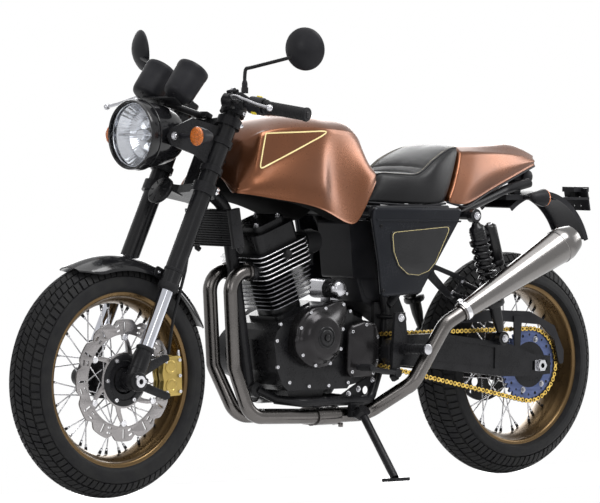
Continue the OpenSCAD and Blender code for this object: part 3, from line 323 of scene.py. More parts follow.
def make_finishes(paint):
    """Fills FINISH from rows: name, two colours, the squeeze of brushed lines, and what sets it apart."""
    tank, black, trim, rim = paint.tank_colour, paint.frame_colour, paint.trim_colour, paint.rim_colour
    for name, colour, second, look in (
        ("bronze_paint", tank, shaded(tank, 0.72),
            dict(metallic=0.8, smooth=0.26, rough=0.34, mottle=6.0, grain=2600.0, depth=0.01, coat=0.15,
            coat_rough=0.16)),
        ("trim_cream", trim, shaded(trim, 0.88), dict(smooth=0.35, rough=0.5)),
        ("black_steel", black, shaded(black, 1.5),
            dict(smooth=0.24, rough=0.34, grain=900.0, depth=0.02, specular=0.12)),
        ("gloss_black", (0.006, 0.006, 0.007), (0.010, 0.010, 0.011),
            dict(smooth=0.10, rough=0.2, grain=1500.0, depth=0.01, specular=0.3)),
        ("satin_black", (0.008, 0.008, 0.009), (0.012, 0.012, 0.013),
            dict(smooth=0.22, rough=0.3, grain=1500.0, depth=0.01, specular=0.12)),
        ("engine_black", (0.008, 0.008, 0.009), (0.013, 0.013, 0.014),
            dict(metallic=0.3, smooth=0.24, rough=0.36, mottle=26.0, grain=420.0, depth=0.05, specular=0.2)),
        ("cover_grey", (0.016, 0.015, 0.016), (0.022, 0.021, 0.022),
            dict(metallic=0.7, smooth=0.2, rough=0.28, mottle=22.0, grain=700.0, depth=0.02, specular=0.3)),
        ("panel_grey", (0.009, 0.010, 0.013), (0.013, 0.014, 0.017),
            dict(metallic=0.3, smooth=0.22, rough=0.3, mottle=10.0, grain=1200.0, depth=0.01, specular=0.15)),
        ("bare_alloy", (0.40, 0.40, 0.42), (0.36, 0.36, 0.38),
            dict(metallic=1.0, smooth=0.26, rough=0.3, mottle=8.0, grain=500.0, depth=0.01)),
        # Near-black with almost no sheen: painted shade under the tank
        ("tank_underside_painted_shade", (0.004, 0.004, 0.004), (0.007, 0.007, 0.007),
            dict(smooth=0.8, rough=0.9, specular=0.02)),
        ("thread", (0.42, 0.39, 0.30), (0.33, 0.30, 0.23),
            dict(smooth=0.6, rough=0.8, grain=1500.0, depth=0.3)),
        ("black_plastic", (0.010, 0.010, 0.012), (0.016, 0.016, 0.018),
            dict(smooth=0.36, rough=0.52, grain=800.0, depth=0.05, specular=0.12)),
        ("gold_chain", (0.72, 0.50, 0.12), (0.55, 0.36, 0.08),
            dict(metallic=1.0, smooth=0.2, rough=0.42, mottle=60.0, grain=500.0, depth=0.03)),
        ("dark_chain", (0.10, 0.07, 0.025), (0.05, 0.036, 0.014),
            dict(metallic=1.0, smooth=0.26, rough=0.46, mottle=60.0, grain=500.0, depth=0.03)),
        ("chrome_tube", (0.46, 0.47, 0.51), (0.42, 0.43, 0.47),
            dict(metallic=1.0, smooth=0.05, rough=0.12, grain=900.0, depth=0.004)),
        ("mirror_glass", (0.82, 0.84, 0.86), (0.78, 0.80, 0.82),
            dict(metallic=1.0, smooth=0.02, rough=0.05, grain=60.0, depth=0.01)),
        ("reflector", (0.50, 0.51, 0.54), (0.44, 0.45, 0.48),
            dict(metallic=1.0, smooth=0.06, rough=0.14, grain=120.0, depth=0.06)),
        ("gold_caliper", (0.34, 0.25, 0.075), (0.29, 0.21, 0.06),
            dict(metallic=0.85, smooth=0.28, rough=0.4, grain=700.0, depth=0.03)),
        ("rim_bronze", rim, shaded(rim, 0.8),
            dict(metallic=0.95, smooth=0.24, rough=0.38, mottle=12.0, grain=900.0, depth=0.02)),
        ("sprocket_blue", (0.075, 0.10, 0.21), (0.055, 0.075, 0.16),
            dict(metallic=0.7, smooth=0.28, rough=0.42, grain=700.0, depth=0.03)),
        ("tyre", (0.009, 0.009, 0.010), (0.017, 0.017, 0.017),
            dict(smooth=0.56, rough=0.78, mottle=30.0, grain=700.0, depth=0.1, specular=0.12)),
        ("rubber", (0.009, 0.009, 0.010), (0.015, 0.015, 0.016),
            dict(smooth=0.5, rough=0.7, grain=900.0, depth=0.1, specular=0.12)),
        ("button_yellow", (0.75, 0.58, 0.03), (0.66, 0.50, 0.02), dict(smooth=0.35, rough=0.5)),
        ("dial_white", (0.82, 0.82, 0.80), (0.74, 0.74, 0.72), dict(smooth=0.5, rough=0.6)),
        ("shock_black", (0.006, 0.006, 0.007), (0.009, 0.009, 0.010),
            dict(smooth=0.22, rough=0.28, grain=900.0, depth=0.004, specular=0.2)),
    ):
        FINISH[name] = coated(name, colour, second, **look)
    for name, colour, second, squeeze, look in (
        ("fin_edge", (0.74, 0.74, 0.76), (0.60, 0.60, 0.62), (60.0, 60.0, 700.0),
            dict(smooth=0.2, rough=0.34, depth=0.02)),
        # The barrel's fin edges: the same metal as the head's, darker as painted shade
        ("fin_edge_painted_shade", (0.16, 0.16, 0.17), (0.10, 0.10, 0.11), (60.0, 60.0, 700.0),
            dict(smooth=0.24, rough=0.4, depth=0.02)),
        ("exhaust", (0.13, 0.122, 0.118), (0.085, 0.080, 0.077), (420.0, 420.0, 420.0),
            dict(smooth=0.2, rough=0.32, depth=0.01)),
        ("silencer", (0.165, 0.158, 0.154), (0.140, 0.134, 0.130), (12.0, 400.0, 400.0),
            dict(turned=(0, math.radians(-28), 0), smooth=0.2, rough=0.27, depth=0.003)),
        ("steel", (0.62, 0.62, 0.64), (0.48, 0.48, 0.50), (220.0, 220.0, 220.0),
            dict(smooth=0.16, rough=0.34, depth=0.02)),
        ("disc_steel", (0.27, 0.26, 0.26), (0.20, 0.19, 0.19), (160.0, 160.0, 160.0),
            dict(smooth=0.24, rough=0.36, depth=0.02)),
    ):
        FINISH[name] = brushed(name, colour, second, squeeze, **look)
    FINISH["leather"] = hide("leather", (0.005, 0.005, 0.006), (0.008, 0.008, 0.009))
    FINISH["clear_lens"] = lens("clear_lens", (0.96, 0.97, 0.98))
    FINISH["red_lens"] = lens("red_lens", (0.55, 0.01, 0.01), 0.06, 0.4, 260.0)
    FINISH["amber_lens"] = lens("amber_lens", (0.92, 0.22, 0.01), 0.08, 0.2, 240.0)


# Shapes


class Shape:
    """A piece in the making: closed bodies in millimetres, each with its own finish."""

    def __init__(self):
        self.bm = bmesh.new()

    def add(self, points, faces, matrix=None, finish=0):
        matrix = matrix or Matrix.Identity(4)
        made = [self.bm.verts.new(matrix @ Vector(p)) for p in points]
        for ids in faces:
            if len(set(ids)) < 3:
                continue
            face = self.bm.faces.new([made[i] for i in ids])
            face.material_index = finish
            face.smooth = True
        return made

    def take(self, other, matrix=None, finish=0):
        """Adds a mesh, and removes it."""
        self.add([v.co.copy() for v in other.vertices], [tuple(p.vertices) for p in other.polygons], matrix,
            finish)
        bpy.data.meshes.remove(other)

    def rings(self, rings, matrix=None, finish=0, closed=False):
        """Skin through equal rings of points, capped at its ends; closed joins the last ring to the first."""
        n, count = len(rings[0]), len(rings)
        faces = []
        for s in range(count if closed else count - 1):
            t = (s + 1) % count
            for i in range(n):
                j = (i + 1) % n
                faces.append((s * n + i, t * n + i, t * n + j, s * n + j))
        if not closed:
            faces += [tuple(range(n)), tuple(range(count * n - 1, (count - 1) * n - 1, -1))]
        return self.add([p for ring in rings for p in ring], faces, matrix, finish)

    def lathe(self, profile, matrix=None, finish=0, steps=64, closed=False):
        """Solid of revolution about Z through (radius, height) points; closed for a ring of its own."""
        points, index = [], []
        for r, z in profile:
            if r < 1e-6:
                index.append([len(points)] * steps)
                points.append((0, 0, z))
            else:
                index.append(list(range(len(points), len(points) + steps)))
                points += [(*polar(r, 2 * math.pi * k / steps), z) for k in range(steps)]
        faces = []
        for low, high in zip(index, index[1:] + index[:1] if closed else index[1:]):
            for k in range(steps):
                j = (k + 1) % steps
                faces.append(tuple(dict.fromkeys((low[k], low[j], high[j], high[k]))))
        if not closed:
            faces += [tuple(ids) for ids in (index[0], index[-1])]
        return self.add(points, faces, matrix, finish)

    def band(self, profile, matrix, finish, steps):
        """Ring of its own about Z, through a closed profile."""
        self.lathe(profile, matrix, finish, steps, closed=True)

    def tube(self, path, radius, matrix=None, finish=0, sides=16, flat=1.0):
        """Round bar along a path; radius is one number or one for each point, flat squeezes its height."""
        path = [Vector(p) for p in path]
        radii = radius if isinstance(radius, (list, tuple)) else [radius] * len(path)
        along = [(path[min(i + 1, len(path) - 1)] - path[max(i - 1, 0)]).normalized()
            for i in range(len(path))]
        side = along[0].orthogonal().normalized()
        turns = [2 * math.pi * k / sides for k in range(sides)]
        rings = []
        for p, d, r in zip(path, along, radii):
            side = (side - d * side.dot(d)).normalized()
            up = d.cross(side)
            rings.append([p + (side * math.cos(a) + up * flat * math.sin(a)) * r for a in turns])
        return self.rings(rings, matrix, finish)

    def block(self, size, matrix=None, finish=0, bevel=2.0, segments=3):
        """Box with rounded edges, centred on its frame."""
        one = bmesh.new()
        bmesh.ops.create_cube(one, size=1.0, matrix=Matrix.Diagonal((*size, 1)))
        if bevel:
            bmesh.ops.bevel(one, geom=one.edges[:], offset=bevel, segments=segments, affect="EDGES",
                profile=0.5)
        mesh = bpy.data.meshes.new("block")
        one.to_mesh(mesh)
        one.free()
        self.take(mesh, matrix, finish)

    def plate(self, outlines, thick, matrix=None, finish=0, bevel=1.0):
        """Flat plate from closed outlines in its XY plane: the first is the edge, the others are holes."""
        curve = bpy.data.curves.new("plate", "CURVE")
        curve.dimensions = "2D"
        curve.fill_mode = "BOTH"
        curve.extrude = max(thick / 2 - bevel, 0.01)
        curve.bevel_depth = bevel
        curve.bevel_resolution = 2
        curve.offset = -bevel
        for outline in outlines:
            spline = curve.splines.new("POLY")
            spline.points.add(len(outline) - 1)
            for point, (x, y) in zip(spline.points, outline):
                point.co = (x, y, 0, 1)
            spline.use_cyclic_u = True
        maker = bpy.data.objects.new("maker", curve)
        bpy.context.scene.collection.objects.link(maker)
        mesh = evaluated_mesh(maker)
        bpy.data.objects.remove(maker)
        bpy.data.curves.remove(curve)
        self.take(mesh, matrix, finish)

    def mesh(self, name):
        """Closes the shape and gives its mesh."""
        bmesh.ops.remove_doubles(self.bm, verts=self.bm.verts[:], dist=0.004)
        bmesh.ops.recalc_face_normals(self.bm, faces=self.bm.faces[:])
        mesh = bpy.data.meshes.new(name)
        self.bm.to_mesh(mesh)
        self.bm.free()
        return mesh

    def done(self, name, body, finishes, slot, hides=(), sharp=38, levels=0):
        """Leans the piece as the machine parks and hands it to the frame."""
        return placed(name, self.mesh(name), body, finishes, hides, sharp, levels)


def evaluated_mesh(thing):
    """Plain mesh of an object with its modifiers, or of a curve."""
    depsgraph = bpy.context.evaluated_depsgraph_get()
    return bpy.data.meshes.new_from_object(thing.evaluated_get(depsgraph), depsgraph=depsgraph)


def placed(name, mesh, body, finishes, hides=(), sharp=38, levels=0):
    for finish in finishes:
        mesh.materials.append(FINISH[finish])
    thing = bpy.data.objects.new(name, mesh)
    bpy.context.scene.collection.objects.link(thing)
    if levels:
        smooth = thing.modifiers.new("rounded", "SUBSURF")
        smooth.levels = smooth.render_levels = levels
        fine = evaluated_mesh(thing)
        thing.modifiers.clear()
        thing.data = fine
        bpy.data.meshes.remove(mesh)
        mesh = fine
        mesh.name = name
    mesh.transform(PARKED)
    mesh.shade_smooth()
    mesh.set_sharp_from_angle(angle=math.radians(sharp))
    mesh.update()
    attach(thing, body)
    if hides:
        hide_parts(*hides)
    return thing


def smooth_path(points, per=8):
    """Smooth curve through points, with per steps from each to the next."""
    pts = [Vector(p) for p in points]
    out = []
    for i in range(len(pts) - 1):
        b, c = pts[i], pts[i + 1]
        a = pts[i - 1] if i else b * 2 - c
        d = pts[i + 2] if i + 2 < len(pts) else c * 2 - b
        for k in range(per):
            t = k / per
            bent = 2 * b + (c - a) * t + (2 * a - 5 * b + 4 * c - d) * t * t
            out.append(0.5 * (bent + (3 * b - a - 3 * c + d) * t ** 3))
    return out + [pts[-1]]


def rounded(points, radius, steps=5):
    """Closed outline with its corners rounded."""
    out = []
    for i, corner in enumerate(points):
        a, b, c = Vector(points[i - 1]), Vector(corner), Vector(points[(i + 1) % len(points)])
        u, v = (a - b).normalized(), (c - b).normalized()
        half = math.acos(max(-1, min(1, u.dot(v)))) / 2
        reach = min(radius / max(math.tan(half), 0.05), (a - b).length * 0.48, (c - b).length * 0.48)
        p, q = b + u * reach, b + v * reach
        for k in range(steps + 1):
            t = k / steps
            out.append(tuple(p.lerp(b, t).lerp(b.lerp(q, t), t)))
    return out


def circle(r, n=32, cx=0.0, cy=0.0):
    return [polar(r, 2 * math.pi * k / n, cx, cy) for k in range(n)]


def oblong(x, y, radius, steps=5):
    """Rounded rectangle that reaches x and y either way."""
    return rounded([(-x, -y), (x, -y), (x, y), (-x, y)], radius, steps)


# Geometry node trees


def end_tree(tree, inp, out, source, label):
    """Ends a geometry tree: copies made real, in the finish that it is given."""
    real = new_node(tree, "GeometryNodeRealizeInstances")
    paint = new_node(tree, "GeometryNodeSetMaterial")
    wire(tree, (source, label, real, "Geometry"), (real, "Geometry", paint, "Geometry"),
        (inp, "Finish", paint, "Material"), (paint, "Geometry", out, "Geometry"))
    return tree


def repeat_tree():
    """One copy of a piece on each point, turned by the point's own angles."""
    tree, inp, out = empty_tree(
        "Repeat on points", "GeometryNodeTree",
        [("Points", "Geometry", None), ("Piece", "Object", None), ("Finish", "Material", None)],
        [("Geometry", "Geometry")],
    )
    info = new_node(tree, "GeometryNodeObjectInfo")
    turned = new_node(tree, "GeometryNodeInputNamedAttribute", {"data_type": "FLOAT_VECTOR"}, Name="turn")
    angles = new_node(tree, "FunctionNodeEulerToRotation")
    spread = new_node(tree, "GeometryNodeInstanceOnPoints")
    wire(tree, (inp, "Points", spread, "Points"), (inp, "Piece", info, "Object"),
        (info, "Geometry", spread, "Instance"), (turned, "Attribute", angles, 0),
        (angles, 0, spread, "Rotation"))
    return end_tree(tree, inp, out, spread, "Instances")


def coil_tree():
    """Helical spring of round wire along Z."""
    tree, inp, out = empty_tree(
        "Coil", "GeometryNodeTree",
        [("Base", "Geometry", None), ("Turns", "Float", 8.0), ("Radius", "Float", 24.0),
            ("Height", "Float", 200.0), ("Wire", "Float", 5.0), ("Finish", "Material", None)],
        [("Geometry", "Geometry")],
    )
    spiral = new_node(tree, "GeometryNodeCurveSpiral", Resolution=36)
    section = new_node(tree, "GeometryNodeCurvePrimitiveCircle", Resolution=12)
    skin = new_node(tree, "GeometryNodeCurveToMesh", Fill_Caps=True)
    wire(tree, (inp, "Turns", spiral, "Rotations"), (inp, "Radius", spiral, "Start Radius"),
        (inp, "Radius", spiral, "End Radius"), (inp, "Height", spiral, "Height"),
        (inp, "Wire", section, "Radius"), (spiral, "Curve", skin, "Curve"),
        (section, "Curve", skin, "Profile Curve"))
    return end_tree(tree, inp, out, skin, "Mesh")


TREES = {"repeat": repeat_tree(), "coil": coil_tree()}


def grown(key, base, **values):
    """Mesh that a tree makes from a base mesh, with its inputs set by name."""
    thing = bpy.data.objects.new("maker", base)
    bpy.context.scene.collection.objects.link(thing)
    modifier = thing.modifiers.new(key, "NODES")
    modifier.node_group = TREES[key]
    for item in TREES[key].interface.items_tree:
        if item.in_out == "INPUT" and item.name in values:
            modifier[item.identifier] = values[item.name]
    thing.update_tag()
    bpy.context.view_layer.update()
    mesh = evaluated_mesh(thing)
    mesh.materials.clear()
    bpy.data.objects.remove(thing)
    bpy.data.meshes.remove(base)
    return mesh


def repeated(name, shape, frames, body="chassis", finish="steel", hides=(), sharp=38):
    """Copies of a shape at each frame (a matrix in millimetres), as one piece of one body."""
    one = shape.mesh("one")
    piece = bpy.data.objects.new("one", one)
    bpy.context.scene.collection.objects.link(piece)
    points = bpy.data.meshes.new("points")
    points.from_pydata([m.to_translation() for m in frames], [], [])
    angles = points.attributes.new("turn", "FLOAT_VECTOR", "POINT")
    for entry, m in zip(angles.data, frames):
        entry.vector = m.to_euler()
    mesh = grown("repeat", points, Piece=piece, Finish=FINISH[finish])
    bpy.data.objects.remove(piece)
    bpy.data.meshes.remove(one)
    return placed(name, mesh, body, [finish], hides, sharp)


def cap_screw(r=5.0, h=5.0):
    """Socket cap screw head on Z, its foot a little under the surface."""
    shape = Shape()
    shape.lathe([(0, -1.0), (r, -1.0), (r, h * 0.8), (r * 0.86, h), (r * 0.5, h), (r * 0.5, h * 0.45),
        (0, h * 0.45)], steps=18)
    return shape


def hex_nut(r=8.0, h=7.0):
    """Hexagon nut with a washer and a stub of thread."""
    shape = Shape()
    shape.lathe([(0, -1), (r * 1.35, -1), (r * 1.35, 1.2), (0, 1.2)], steps=24)
    shape.lathe([(0, 1.0), (r, 1.0), (r * 1.04, 2.0), (r * 1.04, h - 1), (r * 0.92, h), (0, h)], steps=6)
    shape.lathe([(0, h - 0.5), (r * 0.5, h - 0.5), (r * 0.5, h + 2.5), (r * 0.4, h + 3.2), (0, h + 3.2)],
        steps=18)
    return shape


# Settings


def colour_setting(name, description, default):
    return FloatVectorProperty(name=name, description=description, subtype="COLOR", size=3, min=0, max=1,
        default=default)


class PaintSettings(bpy.types.PropertyGroup):
    tank_colour: colour_setting("Tank", "Bronze of the tank and the tail cowl", (0.140, 0.049, 0.019))
    trim_colour: colour_setting("Trim line", "Thin line round the tank's side facet", (0.72, 0.60, 0.28))
    frame_colour: colour_setting("Frame", "Black of the tubes and brackets", (0.010, 0.010, 0.011))
    rim_colour: colour_setting("Rims", "Bronze of the wheel rims", (0.115, 0.074, 0.034))


class WheelSettings(bpy.types.PropertyGroup):
    lug_rows: IntProperty(name="Tread rows", description="Rows of tread blocks round a tyre", default=44,
        min=24, max=72)
    lug_depth: FloatProperty(name="Tread depth", description="Height of the tread blocks in millimetres",
        default=5.0, min=2.0, max=8.0)


class SeatSettings(bpy.types.PropertyGroup):
    rib_depth: FloatProperty(name="Rib depth", description="Depth of the sewn channels in millimetres",
        default=4.5, min=0.0, max=10.0)
    stitch_gap: FloatProperty(name="Stitch gap", description="Distance from stitch to stitch in millimetres",
        default=6.5, min=4.0, max=12.0)


class StageSettings(bpy.types.PropertyGroup):
    floor_colour: colour_setting("Floor", "Pale studio floor", (0.86, 0.86, 0.86))
    floor_lift: FloatProperty(name="Floor lift",
        description="White added to the floor so that only the shadow is grey", default=0.5, min=0.0)
    lamp_power: FloatProperty(name="Key lamp", description="Power of the large soft lamp in watts",
        default=190.0, min=0.0, unit="POWER")


# Stage


def white_rays(tree):
    """Node whose value is 1 for the rays that show the white studio: of the camera, of metal and of glass."""
    path = new_node(tree, "ShaderNodeLightPath")
    either = new_node(tree, "ShaderNodeMath", {"operation": "MAXIMUM"})
    any_of = new_node(tree, "ShaderNodeMath", {"operation": "MAXIMUM"})
    wire(tree, (path, "Is Camera Ray", either, 0), (path, "Is Glossy Ray", either, 1),
        (either, "Value", any_of, 0), (path, "Is Transmission Ray", any_of, 1))
    return any_of


def make_floor(scene):
    """Pale floor that fades to plain white away from the machine, so no horizon shows."""
    settings = scene.racer_stage
    mesh = bpy.data.meshes.new("floor")
    mesh.from_pydata([(-60, -60, 0), (60, -60, 0), (60, 60, 0), (-60, 60, 0)], [], [(0, 1, 2, 3)])
    floor = bpy.data.objects.new("floor", mesh)
    scene.collection.objects.link(floor)
    material, tree, shader = new_finish("studio_floor")
    set_inputs(shader, Base_Color=rgba(settings.floor_colour), Roughness=0.6)
    white = new_node(tree, "ShaderNodeEmission")
    lift = new_node(tree, "ShaderNodeEmission")
    glow = new_node(tree, "ShaderNodeAddShader")
    blend = new_node(tree, "ShaderNodeMixShader")
    place = new_node(tree, "ShaderNodeTexCoord")
    far = new_node(tree, "ShaderNodeVectorMath", {"operation": "LENGTH"})
    fade = new_node(tree, "ShaderNodeMapRange", {"interpolation_type": "SMOOTHSTEP"}, From_Min=1.0,
        From_Max=3.2)
    reach = new_node(tree, "ShaderNodeMath", {"operation": "MULTIPLY"})
    power = new_node(tree, "ShaderNodeMath", {"operation": "MULTIPLY"})
    power.inputs[1].default_value = settings.floor_lift
    seen = white_rays(tree)
    output = next(n for n in tree.nodes if n.type == "OUTPUT_MATERIAL")
    wire(
        tree, (seen, "Value", reach, 1), (seen, "Value", power, 0), (power, "Value", lift, "Strength"),
        (place, "Object", far, 0), (far, "Value", fade, "Value"), (shader, "BSDF", glow, 0),
        (lift, "Emission", glow, 1), (fade, "Result", reach, 0), (reach, "Value", blend, "Fac"),
        (glow, "Shader", blend, 1), (white, "Emission", blend, 2), (blend, "Shader", output, "Surface"),
    )
    mesh.materials.append(material)


def make_world(scene):
    """Faint even light, and a white background where it is seen."""
    scene.world = bpy.data.worlds.new("studio")
    scene.world.use_nodes = True
    tree = scene.world.node_tree
    light, output = tree.nodes["Background"], tree.nodes["World Output"]
    set_inputs(light, Color=(0.96, 0.97, 1.0, 1), Strength=0.16)
    white = new_node(tree, "ShaderNodeBackground", Color=(1, 1, 1, 1), Strength=1.0)
    mix = new_node(tree, "ShaderNodeMixShader")
    wire(tree, (white_rays(tree), "Value", mix, "Fac"), (light, "Background", mix, 1),
        (white, "Background", mix, 2), (mix, "Shader", output, "Surface"))


def make_lamps(scene):
    """Soft lamps: name, place, aim, size in metres, and share of the key lamp's power."""
    for name, spot, aim, size, share in (
        ("key", (-0.4, 2.4, 4.0), (-0.1, 0, 0.6), 2.2, 1.0),
        ("top", (0.3, 0.0, 4.4), (0, 0, 0.5), 3.0, 0.35),
        ("front", (5.4, 0.4, 2.2), (0.3, 0, 0.6), 2.4, 0.36),
        ("side", (3.0, 4.8, 1.6), (0.1, 0, 0.4), 1.6, 0.16),
        ("rear", (-4.4, 1.5, 2.2), (-0.3, 0, 0.7), 1.8, 0.4),
        ("back", (-2.8, -3.4, 2.4), (-0.2, 0, 0.7), 3.0, 0.6),
    ):
        data = bpy.data.lights.new(name, "AREA")
        data.energy, data.size = scene.racer_stage.lamp_power * share, size
        lamp = bpy.data.objects.new(name, data)
        lamp.location = spot
        lamp.rotation_euler = (Vector(aim) - Vector(spot)).to_track_quat("-Z", "Y").to_euler()
        scene.collection.objects.link(lamp)


def make_camera(scene):
    yaw, pitch, roll = (math.radians(a) for a in (CAMERA_YAW, CAMERA_PITCH, CAMERA_ROLL))
    ahead = Vector((-math.cos(yaw) * math.cos(pitch), -math.sin(yaw) * math.cos(pitch), -math.sin(pitch)))
    right = ahead.cross(Vector((0, 0, 1))).normalized()
    up = right.cross(ahead)
    right, up = right * math.cos(roll) + up * math.sin(roll), up * math.cos(roll) - right * math.sin(roll)
    turned = Matrix((right, up, -ahead)).transposed().to_4x4()
    data = bpy.data.cameras.new("camera")
    data.lens = SENSOR_WIDTH * CAMERA_FOCUS / PHOTO_WIDTH
    data.clip_end = 200
    camera = bpy.data.objects.new("camera", data)
    camera.matrix_world = PARKED @ Matrix.Scale(1000, 4) @ at(*CAMERA_SPOT) @ turned
    scene.collection.objects.link(camera)
    scene.camera = camera


class RACER_OT_stage(bpy.types.Operator):
    """Floor, light and the photograph's camera"""

    bl_idname = "racer.stage"
    bl_label = "Stage"

    def execute(self, context):
        make_floor(context.scene)
        make_world(context.scene)
        make_lamps(context.scene)
        make_camera(context.scene)
        context.scene.view_settings.view_transform = "Standard"
        return {"FINISHED"}


class RACER_OT_cad_finishes(bpy.types.Operator):
    """Finishes of the solids that stay in view"""

    bl_idname = "racer.cad_finishes"
    bl_label = "Frame, engine and fork finishes"

    def execute(self, context):
        finishes = {
            "black_steel": (
                "frame_spine", "frame_cradle", "seat_rails", "swingarm", "side_stand", "left_foot_controls",
                "right_foot_controls", "yokes", "headlamp_brackets", "handlebars", "rear_caliper",
                "front_hub", "rear_hub",
            ),
            "shock_black": ("fork_tubes",),
            "engine_black": ("engine_cases", "engine_barrel", "engine_head", "right_engine_cover"),
            "black_plastic": ("battery_box", "rear_mudguard", "chain_guard"),
            "rubber": ("intake", "brake_hose"),
            "exhaust": ("exhaust_headers",),
            "steel": ("rear_axle", "front_axle", "front_spokes", "rear_spokes"),
            "chrome_tube": ("fork_sliders",),
        }
        for finish, names in finishes.items():
            for name in names:
                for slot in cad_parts[name].material_slots:
                    slot.material = FINISH[finish]
        return {"FINISHED"}


def tyre_point(outer, crown, u, v, h):
    """Point of a tyre about Z: u and v are millimetres round and across the tread, h is above it."""
    across = v / crown
    r = outer - crown + (crown + h) * math.cos(across)
    return (*polar(r, u / outer), (crown + h) * math.sin(across))


# Blocks of one tread row: across from, to, slant, along from, to, in shares of half the tread and the pitch
TREAD_BLOCKS = (
    (0.03, 0.30, 0.30, 0.02, 0.46), (0.03, 0.30, 0.30, 0.54, 0.96), (0.34, 0.62, 0.24, 0.10, 0.56),
    (0.34, 0.62, 0.24, 0.64, 1.04), (0.66, 0.98, 0.10, 0.02, 0.44), (0.66, 0.98, 0.10, 0.56, 0.94),
)


class RACER_OT_tyres(bpy.types.Operator):
    """Tyres: carcass with moulded sidewall rings, and the blocks of the tread"""

    bl_idname = "racer.tyres"
    bl_label = "Tyres"

    def execute(self, context):
        wheels = context.scene.racer_wheels
        for name, x, outer, crown, half, body in (
            ("front", FRONT_X, FRONT_R, FRONT_CROWN, FRONT_RIM_W, "front_wheel"),
            ("rear", REAR_X, REAR_R, REAR_CROWN, REAR_RIM_W, "rear_wheel"),
        ):
            hub = at(x, 0, outer) @ ACROSS
            depth = wheels.lug_depth
            limit = math.acos((RIM_R + 0.5 - (outer - crown)) / crown)
            tread = min(1.22, limit - 0.12)
            profile = []
            for k in range(65):
                a = -limit + 2 * limit * k / 64
                h = -depth
                if abs(a) >= tread:
                    h = -0.6 + 0.9 * bell(abs(a) - limit + 0.10, 0.028)
                    h += 0.7 * bell(abs(a) - tread - 0.10, 0.02)
                profile.append(polar(crown + h, a, outer - crown))
            profile += [(RIM_R - 8.6, half - 5.6), (RIM_R - 8.6, -half + 5.6)]
            carcass = Shape()
            carcass.band(profile, hub, 0, 144)
            carcass.tube([(0, 0, 0), (0, 0, 14), (0, 0, 34)], [4.2, 4.2, 3.2],
                hub @ turn(200, "Z") @ at(RIM_R - 34, 0, 0) @ turn(-90, "Y"), 0, 12)
            carcass.done(name + "_tyre_carcass", body, ["tyre"], "tyre", (name + "_tyre",), 50)
            lug = Shape()
            pitch = 2 * math.pi * outer / wheels.lug_rows
            half_w = tread * crown
            for side, (v0, v1, slant, u0, u1) in ((side, row) for side in (1, -1) for row in TREAD_BLOCKS):
                v0, v1, slant, u0, u1 = v0 * half_w, v1 * half_w, slant * pitch, u0 * pitch, u1 * pitch
                shift = 0 if side > 0 else pitch * 0.25
                outline = [(u0 + slant * k / 3, v0 + (v1 - v0) * k / 3) for k in range(4)]
                outline += [(u1 + slant * k / 3, v0 + (v1 - v0) * k / 3) for k in range(3, -1, -1)]
                um, vm = (sum(p[i] for p in outline) / 8 for i in (0, 1))
                points = [tyre_point(outer, crown, u + shift, side * v, -depth - 0.5) for u, v in outline]
                for long, wide, h in ((0.97, 0.97, -0.9), (0.9, 0.92, 0)):
                    points += [tyre_point(outer, crown, um + (u - um) * long + shift,
                        side * (vm + (v - vm) * wide), h) for u, v in outline]
                faces = []
                for s in range(2):
                    for i in range(8):
                        j = (i + 1) % 8
                        faces.append((s * 8 + i, s * 8 + j, s * 8 + 8 + j, s * 8 + 8 + i))
                for k in range(3):
                    faces.append((16 + k, 16 + k + 1, 16 + 6 - k, 16 + 7 - k))
                    faces.append((k, 7 - k, 6 - k, k + 1))
                lug.add(points, faces)
            frames = [hub @ turn(360 * k / wheels.lug_rows, "Z") for k in range(wheels.lug_rows)]
            repeated(name + "_tyre_tread", lug, frames, body, "tyre", sharp=30)
        return {"FINISHED"}


class RACER_OT_rims(bpy.types.Operator):
    """Rims with safety humps, nipples and spoke heads"""

    bl_idname = "racer.rims"
    bl_label = "Rims and spoke ends"

    def execute(self, context):
        for name, x, z, w, body, flange in (("front", FRONT_X, FRONT_R, FRONT_RIM_W, "front_wheel", 30),
                ("rear", REAR_X, REAR_R, REAR_RIM_W, "rear_wheel", 34)):
            hub = at(x, 0, z) @ ACROSS
            half = [(RIM_R - 9.4, w - 5), (RIM_R - 2, w - 4.2), (RIM_R, w - 3.4), (RIM_R, w - 0.6),
                (RIM_R - 1.2, w), (RIM_R - 6, w), (RIM_R - 13, w - 0.4), (RIM_R - 16, w - 2.4),
                (RIM_R - 18.6, w - 10), (RIM_R - 20, w - 14), (RIM_R - 26, w * 0.62), (RIM_R - 31, w * 0.46),
                (RIM_R - 34.5, w * 0.24), (RIM_R - 36, 6)]
            rim = Shape()
            rim.band(half + [(r, -y) for r, y in reversed(half)], hub, 0, 160)
            rim.done(name + "_rim_ring", body, ["rim_bronze"], "rim_bronze", (name + "_rim",), 40)
            nipple, frames, heads = Shape(), [], []
            nipple.lathe([(0, -16), (2.6, -16), (3.0, -14), (3.9, -6), (4.1, -3), (4.6, -0.2), (0, -0.2)],
                steps=10)
            for i in range(SPOKES):
                side, lead = 1 - i % 2 * 2, 1 - i // 2 % 2 * 2
                a_rim = math.radians(i * 360 / SPOKES)
                a_hub = a_rim + math.radians(SPOKE_SWEEP * lead)
                inner = Vector((*polar(50, a_hub), side * flange + lead * 5.2))
                tip = Vector((*polar(RIM_R - 36.8, a_rim), side * 7))
                frames.append(hub @ aimed(tip, tip - inner))
                heads.append(hub @ aimed((*polar(48, a_hub), side * flange + lead * 2.6), (0, 0, lead)))
            repeated(name + "_nipples", nipple, frames, body, "black_steel")
            head = Shape()
            head.lathe([(0, -1), (3.6, -1), (3.6, 1), (2.4, 2.2), (0, 2.4)], steps=10)
            repeated(name + "_spoke_heads", head, heads, body)
        return {"FINISHED"}


